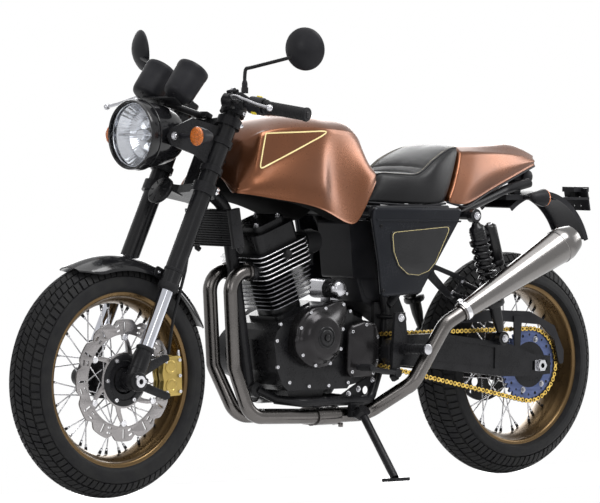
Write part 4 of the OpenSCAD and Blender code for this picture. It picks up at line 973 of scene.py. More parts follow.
TANK_ROWS = (
    # crown (x, z), then top crease, fold, flank and lower edge, each (x, half width, z)
    ((320, 932), (324, 62, 924), (384, 114, 812), (388, 117, 802), (391, 117, 791)),
    ((298, 962), (300, 110, 952), (340, 134, 848), (352, 150, 812), (356, 147, 787)),
    ((250, 986), (250, 116, 960), (262, 133, 876), (270, 158, 824), (270, 155, 774)),
    ((196, 1000), (196, 121, 963), (196, 131, 902), (200, 164, 824), (200, 161, 766)),
    ((138, 1004), (138, 122, 964), (138, 127, 928), (140, 166, 820), (140, 162, 753)),
    ((100, 1004), (100, 121, 964), (96, 124, 946), (112, 163, 816), (114, 161, 744)),
    ((70, 1003), (70, 118, 963), (66, 120, 954), (84, 143, 815), (88, 158, 735)),
    ((40, 1001), (40, 112, 961), (40, 116, 950), (44, 136, 812), (44, 153, 716)),
    ((-4, 998), (-4, 104, 959), (-4, 109, 945), (-4, 133, 816), (-4, 148, 703)),
    ((-34, 994), (-34, 96, 955), (-34, 103, 938), (-34, 132, 822), (-34, 143, 736)),
    ((-58, 984), (-58, 88, 948), (-58, 97, 927), (-58, 131, 832), (-58, 138, 768)),
    ((-82, 948), (-82, 82, 924), (-82, 94, 902), (-82, 126, 842), (-82, 131, 798)),
    ((-104, 905), (-104, 72, 888), (-104, 86, 872), (-104, 118, 848), (-104, 120, 822)),
    ((-116, 880), (-116, 62, 866), (-116, 74, 860), (-116, 108, 850), (-116, 110, 834)),
)


class RACER_OT_tank(bpy.types.Operator):
    """Fuel tank with folded sides, knee recesses, lower lip, trim lines and filler cap"""

    bl_idname = "racer.tank"
    bl_label = "Fuel tank"

    def execute(self, context):
        head = Vector((FRONT_X - 40 * math.cos(RAKE) - 638 * math.sin(RAKE), 0,
            FRONT_R - 40 * math.sin(RAKE) + 638 * math.cos(RAKE)))
        rings = []
        for (xc, zc), top, fold, flank, edge in TANK_ROWS:
            spine = 742 + (xc + 96) * (head.z - 742) / (head.x + 96)
            low = edge[2]
            roof = min(max(spine + 36, low + 5), zc - 16)
            deep = (edge[0] + xc) / 2
            half = [(xc, 0, zc)]
            for share, fall in ((0.5, 0.14), (0.86, 0.62)):
                half.append((xc + (top[0] - xc) * share, top[1] * share, zc - (zc - top[2]) * fall))
            middle = tuple((a + b) / 2 for a, b in zip(flank, edge))
            half += [top, fold, flank, (middle[0], middle[1] + 1, middle[2]), (edge[0], edge[1], low + 5),
                (edge[0], edge[1] + 1.4, low), (edge[0], edge[1] - 12, low - 1), (deep, 44, low + 3),
                (deep, 33, roof), (deep, 0, roof + 2)]
            rings.append(mirrored(half))
        shape = Shape()
        verts = shape.rings(rings)
        n = len(rings[0])
        layer = shape.bm.edges.layers.float.new("crease_edge")
        weights = {3: 0.8, 4: 0.85, 7: 0.5, 8: 0.95, 9: 0.9}
        column = {v: min(i % n, n - i % n) for i, v in enumerate(verts)}
        row = {v: i // n for i, v in enumerate(verts)}
        for line in shape.bm.edges:
            a, b = line.verts
            if row[a] != row[b]:
                line[layer] = weights.get(column[a], 0.0)
            elif row[a] == 0 or (row[a] == 1 and {column[a], column[b]} == {3, 4}):
                line[layer] = 0.6
        # The faces under the tank take the near-black finish, as painted shade
        for face in shape.bm.faces:
            if min(column[v] for v in face.verts) >= 8:
                face.material_index = 1
        tank = shape.done("tank_shell", "chassis", ["bronze_paint", "tank_underside_painted_shade"], "bronze_paint",
            ("fuel_tank",), 60, 3)
        bm = bmesh.new()
        bm.from_mesh(tank.data)
        bm.transform(PARKED.inverted())
        tree = BVHTree.FromBMesh(bm)
        bm.free()
        line = Shape()
        outline = rounded([(288, 950), (52, 960), (328, 850)], 9)
        path = []
        for (x0, z0), (x1, z1) in zip(outline, outline[1:] + outline[:1]):
            long = math.hypot(x1 - x0, z1 - z0)
            count = max(1, int(long / 6))
            path += [(x0 + (x1 - x0) * k / count, z0 + (z1 - z0) * k / count) for k in range(count)]
        middle = Vector((232, 922))
        for side in (1, -1):
            inner, outer_, under_in, under_out = [], [], [], []
            for i, (x, z) in enumerate(path):
                a, b = Vector(path[i - 1]), Vector(path[(i + 1) % len(path)])
                d = (b - a).normalized()
                normal = Vector((-d.y, d.x))
                if normal.dot(middle - Vector((x, z))) < 0:
                    normal = -normal
                for offset, top, low in ((0.0, outer_, under_out), (3.6, inner, under_in)):
                    px, pz = x + normal.x * offset, z + normal.y * offset
                    hit, face_n = tree.ray_cast(Vector((px, side * 400, pz)), Vector((0, -side, 0)))[:2]
                    if hit is None:
                        raise RuntimeError("the trim line leaves the tank")
                    top.append(tuple(hit + face_n * 0.7))
                    low.append(tuple(hit - face_n * 0.8))
            line.rings([outer_, inner, under_in, under_out], closed=True)
        line.done("tank_trim_lines", "chassis", ["trim_cream"], "bronze_paint", (), 80)
        cap = Shape()
        spot = at(150, 0, 999.5)
        cap.lathe([(0, -10), (38, -10), (38.6, 2), (38, 5), (35, 7), (30, 7.4), (29, 8.6), (24, 10.4),
            (0, 11)], spot, 0, 64)
        cap.lathe([(0, 9), (5, 9), (5, 11.4), (4, 11.9), (0, 11.9)], spot @ at(-12, 0, 0), 1, 24)
        cap.block((26, 4, 2.4), spot @ at(8, 0, 10.6), 1, 0.8, 2)
        cap.done("filler_cap", "chassis", ["black_steel", "steel"], "bare_alloy", ("fuel_cap",))
        screws = [spot @ turn(60 * k, "Z") @ at(33.2, 0, 6.6) for k in range(6)]
        repeated("filler_cap_screws", cap_screw(2.6, 2.6), screws)
        return {"FINISHED"}


# Seat cover: foam's pressure, frames of its simulation, and the farthest that it swells, in metres
FOAM_PRESSURE, COVER_FRAMES, COVER_SWELL = 4.0, 20, 0.009


def swell(scene, seat, sewn):
    """Lets the foam press the cover out between its sewn lines, as cloth under pressure."""
    start = [v.co.copy() for v in seat.data.vertices]
    if len(start) != len(sewn):
        raise RuntimeError("the seat cover's sewn lines don't fit its mesh")
    group = seat.vertex_groups.new(name="sewn")
    for index, weight in enumerate(sewn):
        group.add([index], weight, "REPLACE")
    cover = seat.modifiers.new("cover", "CLOTH")
    cover.settings.vertex_group_mass = group.name
    cover.settings.use_pressure = True
    cover.settings.uniform_pressure_force = FOAM_PRESSURE
    cover.settings.effector_weights.gravity = 0.0
    cover.point_cache.frame_end = COVER_FRAMES
    for frame_number in range(1, COVER_FRAMES + 1):
        scene.frame_set(frame_number)
    shown = seat.evaluated_get(bpy.context.evaluated_depsgraph_get())
    ends = [v.co.copy() for v in shown.data.vertices]
    seat.modifiers.remove(cover)
    seat.vertex_groups.remove(group)
    for vertex, a, b in zip(seat.data.vertices, start, ends):
        move = b - a
        vertex.co = a + move * min(1.0, COVER_SWELL / max(move.length, 1e-9))
    seat.data.update()
    scene.frame_set(1)


SEAT_RIBS = (-196, -222, -248, -274, -300)
SEAM_POINT = 12
SEAT_ROWS = (
    # each row: x, z and half width, each of them at the base and then on top
    (-94, -142, 770, 838, 84, 74), (-126, -158, 768, 848, 104, 92), (-200, -204, 764, 846, 128, 112),
    (-268, -268, 762, 848, 138, 120), (-302, -330, 762, 888, 140, 118), (-330, -396, 764, 918, 138, 104),
    (-352, -446, 770, 924, 132, 88),
)


class RACER_OT_seat(bpy.types.Operator):
    """Padded seat: crowned pad with sewn ribs, hump, welt and stitches"""

    bl_idname = "racer.seat"
    bl_label = "Seat"

    def execute(self, context):
        settings = context.scene.racer_seat
        # half section: share of the height, share of the half width at that height
        section = [(1.0, 0.0), (1.005, 0.25), (1.0, 0.5), (0.985, 0.75), (0.955, 0.92), (0.90, 1.0),
            (0.82, 1.035), (0.66, 1.05), (0.48, 1.05), (0.30, 1.04), (0.14, 1.015), (0.03, 0.985),
            (0.0, 0.90), (0.0, 0.45), (0.0, 0.0)]
        rows = smooth_path([Vector(r[:3]) for r in SEAT_ROWS], 22)
        more = smooth_path([Vector(r[3:]) for r in SEAT_ROWS], 22)
        half_path = smooth_path([Vector((*s, 0)) for s in section], 3)
        rings, seam, sewn = [], [], []
        count = len(rows)
        for i, (a, b) in enumerate(zip(rows, more)):
            x0, x1, z0 = a
            z1, w0, w1 = b
            end = min(i, count - 1 - i) / 6
            pull = 1 - 0.10 * max(0, 1 - end) ** 2
            ring, held = [], []
            for s in half_path:
                share, wide = s.x, s.y
                hold = 1.0 if share < 0.1 or end < 0.5 else 0.0
                w = (w0 + (w1 - w0) * share) * wide * pull
                x = x0 + (x1 - x0) * share
                z = z0 + (z1 - z0) * share
                if share > 0.8 and -312 < x < -176:
                    for rib in SEAT_RIBS:
                        edge = max(0.0, 1 - (abs(wide) / 0.93) ** 4)
                        dx = x - rib - 10 * (wide ** 2)
                        z -= settings.rib_depth * bell(dx, 3.4) * edge
                        hold = max(hold, bell(dx, 3.4) * edge)
                held.append(hold)
                ring.append((x, w, z))
            held[SEAM_POINT] = 1.0
            sewn += held + held[-2:0:-1]
            seam.append(Vector(ring[SEAM_POINT]))
            rings.append(mirrored(ring))
        pad = Shape()
        pad.rings(rings)
        seat = pad.done("seat_pad", "chassis", ["leather"], "leather", ("seat",), 60)
        swell(context.scene, seat, sewn)
        welt = Shape()
        lines = []
        for side in (1, -1):
            line = [Vector((p.x, p.y * side * 1.004, p.z + 0.4)) for p in seam[2:-2]]
            lines.append(line)
            welt.tube(line, 2.1, None, 0, 8)
        welt.done("seat_welt", "chassis", ["leather"], "leather", (), 60)
        stitch, frames = Shape(), []
        stitch.tube([(-1.9, 0, -0.5), (-1.5, 0, 0.35), (0, 0, 0.75), (1.5, 0, 0.35), (1.9, 0, -0.5)], 0.6,
            None, 0, 6)
        for side, line in zip((1, -1), lines):
            for shift, drop in ((-5.5, 1.6), (4.2, -5.2)):
                walk, last = 0.0, None
                for here in line:
                    spot = Vector((here.x, here.y + side * (shift if shift < 0 else 1.9), here.z + drop))
                    if last is not None:
                        walk += (spot - last).length
                        if walk >= settings.stitch_gap:
                            d = (spot - last).normalized()
                            out = Vector((0, side * (0.25 if shift < 0 else 1.0), 1.0 if shift < 0 else 0.3))
                            out = (out - d * out.dot(d)).normalized()
                            base = Matrix((d, out.cross(d), out)).transposed().to_4x4()
                            frames.append(at(*spot) @ base)
                            walk = 0.0
                    last = spot
        repeated("seat_stitches", stitch, frames, "chassis", "thread")
        edge = Shape()
        for m in BOTH:
            lip = [(-96, 88, 766), (-140, 110, 763), (-210, 131, 759), (-280, 141, 757), (-350, 134, 764)]
            edge.tube(lip, 3.4, m, 0, 10)
            edge.tube([(x - 4, y + 3, 751) for x, y, z in lip], 8, m, 0, 10)
        edge.done("seat_base_edge", "chassis", ["black_plastic"], "black_plastic")
        return {"FINISHED"}


class RACER_OT_tail_cowl(bpy.types.Operator):
    """Tail cowl with shoulder fold, ridge panel and rolled edge"""

    bl_idname = "racer.tail_cowl"
    bl_label = "Tail cowl"

    def execute(self, context):
        # each row: x and z of the edge and the ridge, half width of the edge and the shoulder, shoulder's z
        rows = ((-358, -462, 766, 925, 141, 100, 902), (-394, -500, 762, 926, 140, 99, 903),
            (-430, -540, 760, 926, 138, 98, 902), (-520, -620, 790, 929, 112, 86, 900),
            (-580, -660, 810, 931, 97, 77, 898), (-640, -700, 828, 932, 82, 68, 896),
            (-740, -766, 858, 918, 54, 48, 892), (-790, -812, 870, 892, 36, 32, 886))
        rings = []
        for x0, x1, z0, z1, w0, w1, zs in rows:
            half = [(x1, 0, z1), (x1 + 4, w1 * 0.3, z1 - 1.5), (x1 + 10, w1 * 0.56, (z1 + zs) / 2 + 7),
                (x1 + 24, w1 * 0.97, zs + 2), ((x0 + x1) / 2 + 10, (w0 + w1) / 2 + 5, (z0 + zs) / 2 + 3),
                (x0 + 2, w0 + 0.5, z0 + 7), (x0, w0 + 1.4, z0), (x0, w0 - 8, z0 - 0.5),
                (x0, w0 - 30, z0 + 8), (x0, 0, z0 + 12)]
            rings.append(mirrored(half))
        shape = Shape()
        verts = shape.rings(rings)
        n = len(rings[0])
        layer = shape.bm.edges.layers.float.new("crease_edge")
        order = {v: i for i, v in enumerate(verts)}
        for edge in shape.bm.edges:
            i, j = order[edge.verts[0]], order[edge.verts[1]]
            if abs(i - j) % n == 0:
                column = min(i % n, n - i % n)
                edge[layer] = {2: 0.35, 3: 0.6, 5: 0.4, 6: 0.9, 7: 0.9}.get(column, 0.0)
            elif i // n == j // n and i // n in (0, len(rows) - 1):
                edge[layer] = 0.8
        shape.done("cowl_shell", "chassis", ["bronze_paint"], "bronze_paint", ("tail_cowl",), 60, 3)
        trim = Shape()
        for m in BOTH:
            trim.tube(smooth_path([(-352, 139, 768), (-400, 138, 758), (-430, 137, 755.5), (-520, 111, 786),
                (-580, 96, 806), (-640, 81, 824), (-740, 53, 854), (-788, 36, 867)], 5), 3.2, m, 0, 10)
        trim.done("cowl_edge_trim", "chassis", ["black_plastic"], "black_plastic")
        return {"FINISHED"}


class RACER_OT_headlamp(bpy.types.Operator):
    """Headlamp: shell, bezel, faceted reflector, bulb shield and lens; horn below"""

    bl_idname = "racer.headlamp"
    bl_label = "Headlamp and horn"

    def execute(self, context):
        lamp = at(656, 0, 939) @ turn(90, "Y")
        shell = Shape()
        shell.lathe([(0, -158), (20, -157.4), (36, -155), (52, -147), (64, -134), (72, -118), (79, -96),
            (84, -70), (86, -50), (86.4, -36), (87, -31), (90.2, -30), (91, -27), (91, -4), (90.4, -1.4),
            (89.2, 0), (87.4, -0.4), (85.2, -1.6), (84.6, -6), (84.2, -24), (81, -28), (73, -38), (60, -52),
            (40, -62), (20, -68), (0, -70)], lamp, 0, 96)
        shell.band([(87.2, -34), (92.0, -34), (92.4, -32), (92, -30), (87.2, -30)], lamp, 0, 96)
        shell.block((9, 12, 14), lamp @ at(-91.5, 0, -20), 1, 2)
        shell.done("headlamp_bowl", "steering", ["gloss_black", "steel"], "black_plastic",
            ("headlamp_shell",), 32)
        bowl = Shape()
        profile = [(83.8, -20), (82, -25), (73.6, -36), (60, -50), (40, -60.6), (19.6, -66.6), (0, -69)]
        steps = 48
        for (r0, z0), (r1, z1) in zip(profile[:-2], profile[1:]):
            for k in range(steps):
                a0, a1 = 2 * math.pi * k / steps, 2 * math.pi * (k + 1) / steps
                front = [(*polar(r0, a0), z0), (*polar(r0, a1), z0), (*polar(r1, a1), z1),
                    (*polar(r1, a0), z1)]
                bulge = sum((Vector(p) for p in front), Vector()) / 4 + Vector((0, 0, 1.1))
                bowl.add(front + [tuple(bulge)], [(0, 1, 4), (1, 2, 4), (2, 3, 4), (3, 0, 4)], lamp)
        bowl.done("headlamp_reflector", "steering", ["reflector"], "chrome_tube", (), 20)
        parts = Shape()
        parts.lathe([(0, -34), (12, -34), (15.5, -37), (16, -46), (14, -60), (0, -60)], lamp, 0, 40)
        parts.block((4.5, 150, 14), lamp @ at(0, 0, -31), 0, 1.6)
        parts.band([(84, -14), (84, -20), (80, -21), (80.4, -15)], lamp, 0, 96)
        for k in range(7):
            parts.block((1.6, 2.4, 34), lamp @ turn(180 + (k - 3) * 11, "Z") @ at(52, 0, -30)
                @ turn(40, "Y"), 0, 0.5, 1)
        parts.done("headlamp_bulb_shield", "steering", ["reflector"], "chrome_tube")
        glass = Shape()
        glass.lathe([(0, -1.6), (22, -2.1), (42, -3.6), (60, -6), (74, -8.6), (84.2, -11.6), (84.2, -15),
            (74, -12), (60, -9.2), (42, -6.8), (22, -5.3), (0, -4.8)], lamp, 0, 96)
        glass.done("headlamp_glass", "steering", ["clear_lens"], "clear_lens", ("headlamp_lens",), 40)
        horn = Shape()
        spot = FORK @ at(58, 0, 512) @ turn(80, "Y")
        horn.lathe([(0, -14), (20, -14), (24, -12), (38, -8), (40, -5), (40, 0), (38, 3), (34, 4), (20, 5.5),
            (10, 9), (0, 9.5)], spot, 0, 48)
        for k in range(8):
            horn.block((16, 2.4, 2), spot @ turn(45 * k, "Z") @ at(26, 0, 5), 0, 0.6, 1)
        horn.block((70, 18, 4), FORK @ at(24, 0, 526) @ turn(4, "Y"), 1, 1.2)
        horn.done("horn", "steering", ["satin_black", "black_steel"], "bare_alloy")
        caps = [at(592, s * 103.2, 938) @ turn(-90 * s, "X") for s in (1, -1)]
        repeated("headlamp_pivot_bolts", hex_nut(8, 6), caps, "steering")
        return {"FINISHED"}


class RACER_OT_gauges(bpy.types.Operator):
    """Two gauge pods with dials, needles and glasses"""

    bl_idname = "racer.gauges"
    bl_label = "Gauges"

    def execute(self, context):
        pods, marks, glass = Shape(), Shape(), Shape()
        for side in (1, -1):
            pod = at(556, side * 64, 1036) @ turn(-38, "Y")
            pods.lathe([(0, 0), (22, 0), (31, 1.6), (37, 5.5), (40, 11), (41.4, 20), (42.6, 60), (43.2, 82),
                (44, 85), (44, 94), (43, 96.6), (40, 98), (38.4, 97), (38, 92.4), (37, 91.6), (0, 91.6)],
                pod, 0, 72)
            for k in range(3):
                pods.block((5, 5, 5), pod @ turn(120 * k + 30, "Z") @ at(24, 0, -0.6), 1, 1.2, 2)
            marks.lathe([(0, 90), (36.4, 90), (36.4, 92.2), (0, 92.2)], pod, 0, 64)
            for k in range(25):
                long = 6 if k % 3 == 0 else 3.2
                marks.block((long, 0.9, 0.6), pod @ turn(-135 + 270 * k / 24, "Z")
                    @ at(33 - long / 2, 0, 92.4), 1, 0)
            marks.band([(32.8, 92.0), (33.8, 92.0), (33.8, 92.7), (32.8, 92.7)], pod, 1, 64)
            marks.block((27, 1.3, 0.8), pod @ turn(205 if side > 0 else 228, "Z") @ at(9.5, 0, 94), 2, 0.2, 1)
            marks.lathe([(0, 92), (3.6, 92), (3.6, 94.4), (2.4, 95.2), (0, 95.2)], pod, 0, 24)
            marks.block((15, 9, 0.6), pod @ at(-15, 0, 92.4), 3, 0.3, 1)
            glass.lathe([(0, 97), (20, 96.7), (38.3, 95.4), (38.3, 94.4), (0, 95.9)], pod, 0, 64)
        pods.block((34, 132, 7), at(548, 0, 1028) @ turn(-38, "Y"), 1, 2)
        pods.tube([(548, 0, 1026), (414, 0, 992)], 9, None, 1, 20)
        pods.block((24, 60, 14), FORK @ at(14, 0, 749.3), 1, 3)
        pods.done("gauge_pods", "steering", ["black_plastic", "black_steel"], "black_plastic", ("gauges",),
            34)
        marks.done("gauge_dials", "steering", ["black_plastic", "dial_white", "amber_lens", "cover_grey"],
            "black_plastic")
        glass.done("gauge_glasses", "steering", ["clear_lens"], "clear_lens")
        return {"FINISHED"}


BAR_ROOT = Vector((44, 126, 778))
BAR_TIP = Vector((-32, 353, 776))
BAR_DIR = (BAR_TIP - BAR_ROOT).normalized()


class RACER_OT_controls(bpy.types.Operator):
    """Grips, switch housings, levers with their perches, and the fluid pot"""

    bl_idname = "racer.controls"
    bl_label = "Handlebar controls"

    def execute(self, context):
        grips, levers = Shape(), Shape()
        long = (BAR_TIP - BAR_ROOT).length
        for m in BOTH:
            left = m is BOTH[0]
            base = FORK @ m
            grip = base @ aimed(BAR_ROOT + BAR_DIR * 112, BAR_DIR)
            profile = [(11.4, 0), (19, 0), (20, 1.5), (20, 4), (17.6, 5.5), (16, 7)]
            for k in range(14):
                z = 9 + k * 8.2
                profile += [(15.9, z), (16.9, z + 1.2), (17.0, z + 4.6), (15.9, z + 5.8)]
            end = long - 112
            profile += [(16.2, end - 6), (18.4, end - 4), (18.6, end + 1), (17, end + 4), (0, end + 4.4)]
            grips.lathe(profile, grip, 0, 40)
            grips.lathe([(0, end + 4), (9, end + 4), (9.6, end + 5.2), (8.6, end + 6.4), (5, end + 6.8),
                (0, end + 6.8)], grip, 2, 32)
            box = base @ aimed(BAR_ROOT + BAR_DIR * 66, BAR_DIR)
            grips.band([(11.4, 0), (20, 0), (22.4, 2), (23, 6), (23, 36), (22.4, 40), (20, 42), (11.4, 42)],
                box, 1, 40)
            toward = (box.inverted() @ base @ (BAR_ROOT + BAR_DIR * 87 + Vector((-40, 0, 0)))).normalized()
            spin = math.degrees(math.atan2(toward.y, toward.x))
            grips.block((26, 34, 38), box @ turn(spin, "Z") @ at(16, 0, 21), 1, 7, 4)
            if left:
                grips.block((12, 9, 15), box @ turn(spin + 100, "Z") @ at(20, 0, 22), 3, 2)
                grips.block((12, 9, 15), box @ turn(spin - 100, "Z") @ at(20, 0, 22), 3, 2)
                grips.block((7, 9, 14), box @ turn(spin, "Z") @ at(27, -9, 14), 0, 2)
            else:
                grips.lathe([(0, 0), (6, 0), (6, 6), (4.6, 7), (0, 7)],
                    box @ turn(spin, "Z") @ at(26, 6, 26) @ turn(90, "Y"), 4, 24)
                grips.block((7, 14, 10), box @ turn(spin, "Z") @ at(27, -7, 12), 0, 2)
            perch = base @ aimed(BAR_ROOT + BAR_DIR * 26, BAR_DIR)
            levers.band([(11.4, 0), (17, 0), (18, 1.2), (18, 24.8), (17, 26), (11.4, 26)], perch, 0, 40)
            root = BAR_ROOT + BAR_DIR * 44 + Vector((44, 0, -2))
            tip = Vector((72, 330, 744))
            levers.tube([BAR_ROOT + BAR_DIR * 40 + Vector((14, 0, 0)), root + Vector((-12, 0, 0)),
                root + Vector((4, 0, 0))], [11, 10, 8], base, 0, 18)
            mid = root + (tip - root) * 0.4 + Vector((4, 0, 0))
            curve = smooth_path([root - Vector((4, 6, 0)), root + (mid - root) * 0.45 + Vector((2, 0, 1)),
                mid, mid + (tip - mid) * 0.5 + Vector((1.5, 0, -2)), tip], 6)
            n = len(curve)
            levers.tube(curve, [8.2 - 3.4 * min(1, 1.5 * i / n) for i in range(n)], base, 1, 14, 0.78)
            levers.lathe([(0, -9), (4, -8.1), (7, -5.7), (8.6, -2.6), (9, 0), (8.6, 2.6), (7, 5.7), (4, 8.1),
                (0, 9)], base @ at(*tip), 1, 24)
            spot = BAR_ROOT + BAR_DIR * 44 + Vector((10, 0, 16))
            levers.block((44, 32, 16), base @ at(*spot) @ at(0, 0, -6), 0, 4)
            if left:
                levers.tube([spot + Vector((18, -4, 4)), spot + Vector((22, -20, 3)),
                    spot + Vector((24, -36, 0))], [6, 6, 4.6], base, 2, 16)
                levers.band([(4, 0), (8.6, 0), (8.6, 7), (4, 7)], base
                    @ aimed(spot + Vector((21, -14, 4)), (0.1, -1, 0)), 1, 20)
            else:
                levers.block((42, 34, 22), base @ at(*spot) @ at(0, 0, 3), 0, 5)
                levers.block((44, 35, 4), base @ at(*spot) @ at(0, 0, 13), 2, 1.4)
        grips.done("grips_and_switches", "steering", ["rubber", "black_plastic", "cover_grey",
            "button_yellow", "red_lens"], "rubber", ("grips",))
        levers.done("levers_and_perches", "steering", ["black_steel", "bare_alloy", "black_plastic"],
            "bare_alloy", ("levers",))
        screws = []
        for m in BOTH:
            for back in (-9, 9):
                spot = BAR_ROOT + BAR_DIR * (39 + back) + Vector((16.4, 0, 0))
                screws.append(FORK @ m @ aimed(spot, (1, 0.3, 0)))
        repeated("perch_screws", cap_screw(3.6, 4), screws, "steering")
        return {"FINISHED"}


class RACER_OT_mirrors(bpy.types.Operator):
    """Round mirrors on bent stems"""

    bl_idname = "racer.mirrors"
    bl_label = "Mirrors"

    def execute(self, context):
        shape, glass = Shape(), Shape()
        foot = FORK @ (BAR_ROOT + BAR_DIR * 44 + Vector((10, 0, 30)))
        head = FORK @ Vector((36, 332, 938)) - Vector((0, 0, 7))
        away = Vector((0.9, 0.36, -0.1)).normalized()
        knee = foot + Vector((-2, 3, 58))
        end = head + away * 15 - Vector((0, 20, 16))
        for m in BOTH:
            stem = [foot, foot + Vector((0, 0, 40)), knee, knee + (end - knee) * 0.12,
                end - (end - knee) * 0.08, end + Vector((-6, 8, 6))]
            shape.tube(smooth_path(stem, 6), 4.8, m, 0, 14)
            shape.lathe([(0, -6), (10, -6), (10, 9), (8.6, 10), (0, 10)], m @ at(*foot), 0, 6)
            shape.lathe([(0, 8), (7.6, 8), (7.6, 20), (6, 26), (4.8, 28), (0, 28)], m @ at(*foot), 1, 24)
            back = m @ aimed(head, -away)
            shape.lathe([(0, -22), (10, -21.4), (20, -19), (32, -14.6), (43, -8.6), (51, -3), (55, 1),
                (56, 3.4), (56, 6), (55, 7.6), (53, 8), (52, 6.6), (0, 6.4)], back, 1, 72)
            shape.lathe([(0, -4), (7, -4), (9, 0), (8, 8), (0, 9)], m @ aimed(end, -away), 1, 24)
            glass.lathe([(0, 5.8), (51.8, 5.8), (51.8, 6.9), (30, 7.3), (0, 7.5)], back, 0, 64)
        shape.done("mirror_heads", "steering", ["black_steel", "black_plastic"], "black_plastic",
            ("mirrors",))
        glass.done("mirror_glasses", "steering", ["mirror_glass"], "chrome_tube")
        return {"FINISHED"}


class RACER_OT_indicators(bpy.types.Operator):
    """Turn indicators at both ends and the tail lamp"""

    bl_idname = "racer.indicators"
    bl_label = "Indicators and tail lamp"

    def execute(self, context):
        for name, x, y, z, face, body in (("front", 568, 129.3, 938, 1, "steering"),
                ("rear", -718, 96.3, 779.5, -1, "chassis")):
            bodies, lenses = Shape(), Shape()
            for m in BOTH:
                base = m @ at(x, y, z)
                bodies.lathe([(0, -26), (7, -26), (7.4, -22), (6, -18), (5.4, 10), (7.4, 16), (9, 20),
                    (0, 22)], base @ ACROSS, 0, 24)
                head = base @ at(0, 44, 0) @ turn(face * 90, "Y")
                bodies.lathe([(0, -44), (6, -43.4), (11, -40), (15, -32), (19.4, -18), (23, -6), (25, 2),
                    (25, 5), (24, 6), (0, 6)], head, 0, 48)
                lenses.lathe([(0, 5), (24.4, 5), (24.6, 7), (23.6, 10), (20, 12.4), (14, 13.4), (0, 14)],
                    head, 0, 48)
                for k in range(5):
                    lenses.block((1.4, 40 - abs(k - 2) * 7, 1.0), head
                        @ at((k - 2) * 7.4, 0, 12.9 - abs(k - 2) * 0.5), 0, 0.3, 1)
            bodies.done(name + "_indicator_bodies", body, ["black_plastic"], "black_plastic",
                (name + "_indicators",))
            lenses.done(name + "_indicator_lenses", body, ["amber_lens"], "amber_lens")
        lamp, red = Shape(), Shape()
        base = at(-772, 0, 837)
        lamp.block((46, 40, 26), base @ at(24, 0, 0), 0, 5, 3)
        lamp.lathe([(0, -31), (15, -31), (18, -29), (18.6, -24), (18.6, 24), (18, 29), (15, 31), (0, 31)],
            base @ UPRIGHT, 0, 48)
        red.lathe([(0, -24), (18.8, -24), (19.4, -22), (19.4, 22), (18.8, 24), (0, 24)],
            base @ UPRIGHT @ at(-1.6, 0, 0), 0, 48)
        lamp.done("tail_lamp_body", "chassis", ["black_plastic"], "black_plastic", ("tail_lamp",))
        red.done("tail_lamp_lens", "chassis", ["red_lens"], "red_lens")
        return {"FINISHED"}


def arc_sheet(shape, centre, ring_r, section_r, start, stop, half_width, thick, taper, steps=56, across=20):
    """Mudguard skin round an axle: an arched section swept from start to stop degrees, narrow at its tips."""
    rings = []
    for i in range(steps + 1):
        t = i / steps
        a = math.radians(start + (stop - start) * t)
        tip = max(0.0, abs(2 * t - 1) - 0.72) / 0.28
        w = half_width * (1 - taper * tip ** 2.2)
        rows = ([], [])
        for k in range(across + 1):
            y = w * (2 * k / across - 1)
            drop = section_r - math.sqrt(max(section_r ** 2 - y ** 2, 0))
            edge = 1.2 if k in (0, across) else 0.0
            for row, skin in zip(rows, (0.0, thick)):
                r = ring_r - drop - skin + edge * (1 if skin == 0 else -1) * 0.4
                x, z = polar(r, a, *centre)
                row.append((x, y, z))
        rings.append(rows[0] + rows[1][::-1])
    shape.rings(rings)


class RACER_OT_front_mudguard(bpy.types.Operator):
    """Front mudguard with rolled edges and its stays"""

    bl_idname = "racer.front_mudguard"
    bl_label = "Front mudguard"

    def execute(self, context):
        shape = Shape()
        arc_sheet(shape, (FRONT_X, FRONT_R), 324, 80, 64.5, 156, 68, 3.4, 0.42)
        for m in BOTH:
            shape.tube([(0, 58, 300), (0, 74.6, 300)], 7, FORK @ m, 1, 18)
            shape.plate([oblong(34, 14, 8)], 5, FORK @ m @ at(0, 67, 296) @ UPRIGHT, 1, 1)
        shape.done("front_guard", "steering", ["gloss_black", "black_steel"], "black_plastic",
            ("front_mudguard",), 50)
        bolts = [FORK @ m @ at(x, 69.6, 296) @ ACROSS for m in BOTH for x in (-22, 22)]
        repeated("front_guard_bolts", cap_screw(4.4, 4.4), bolts, "steering")
        return {"FINISHED"}


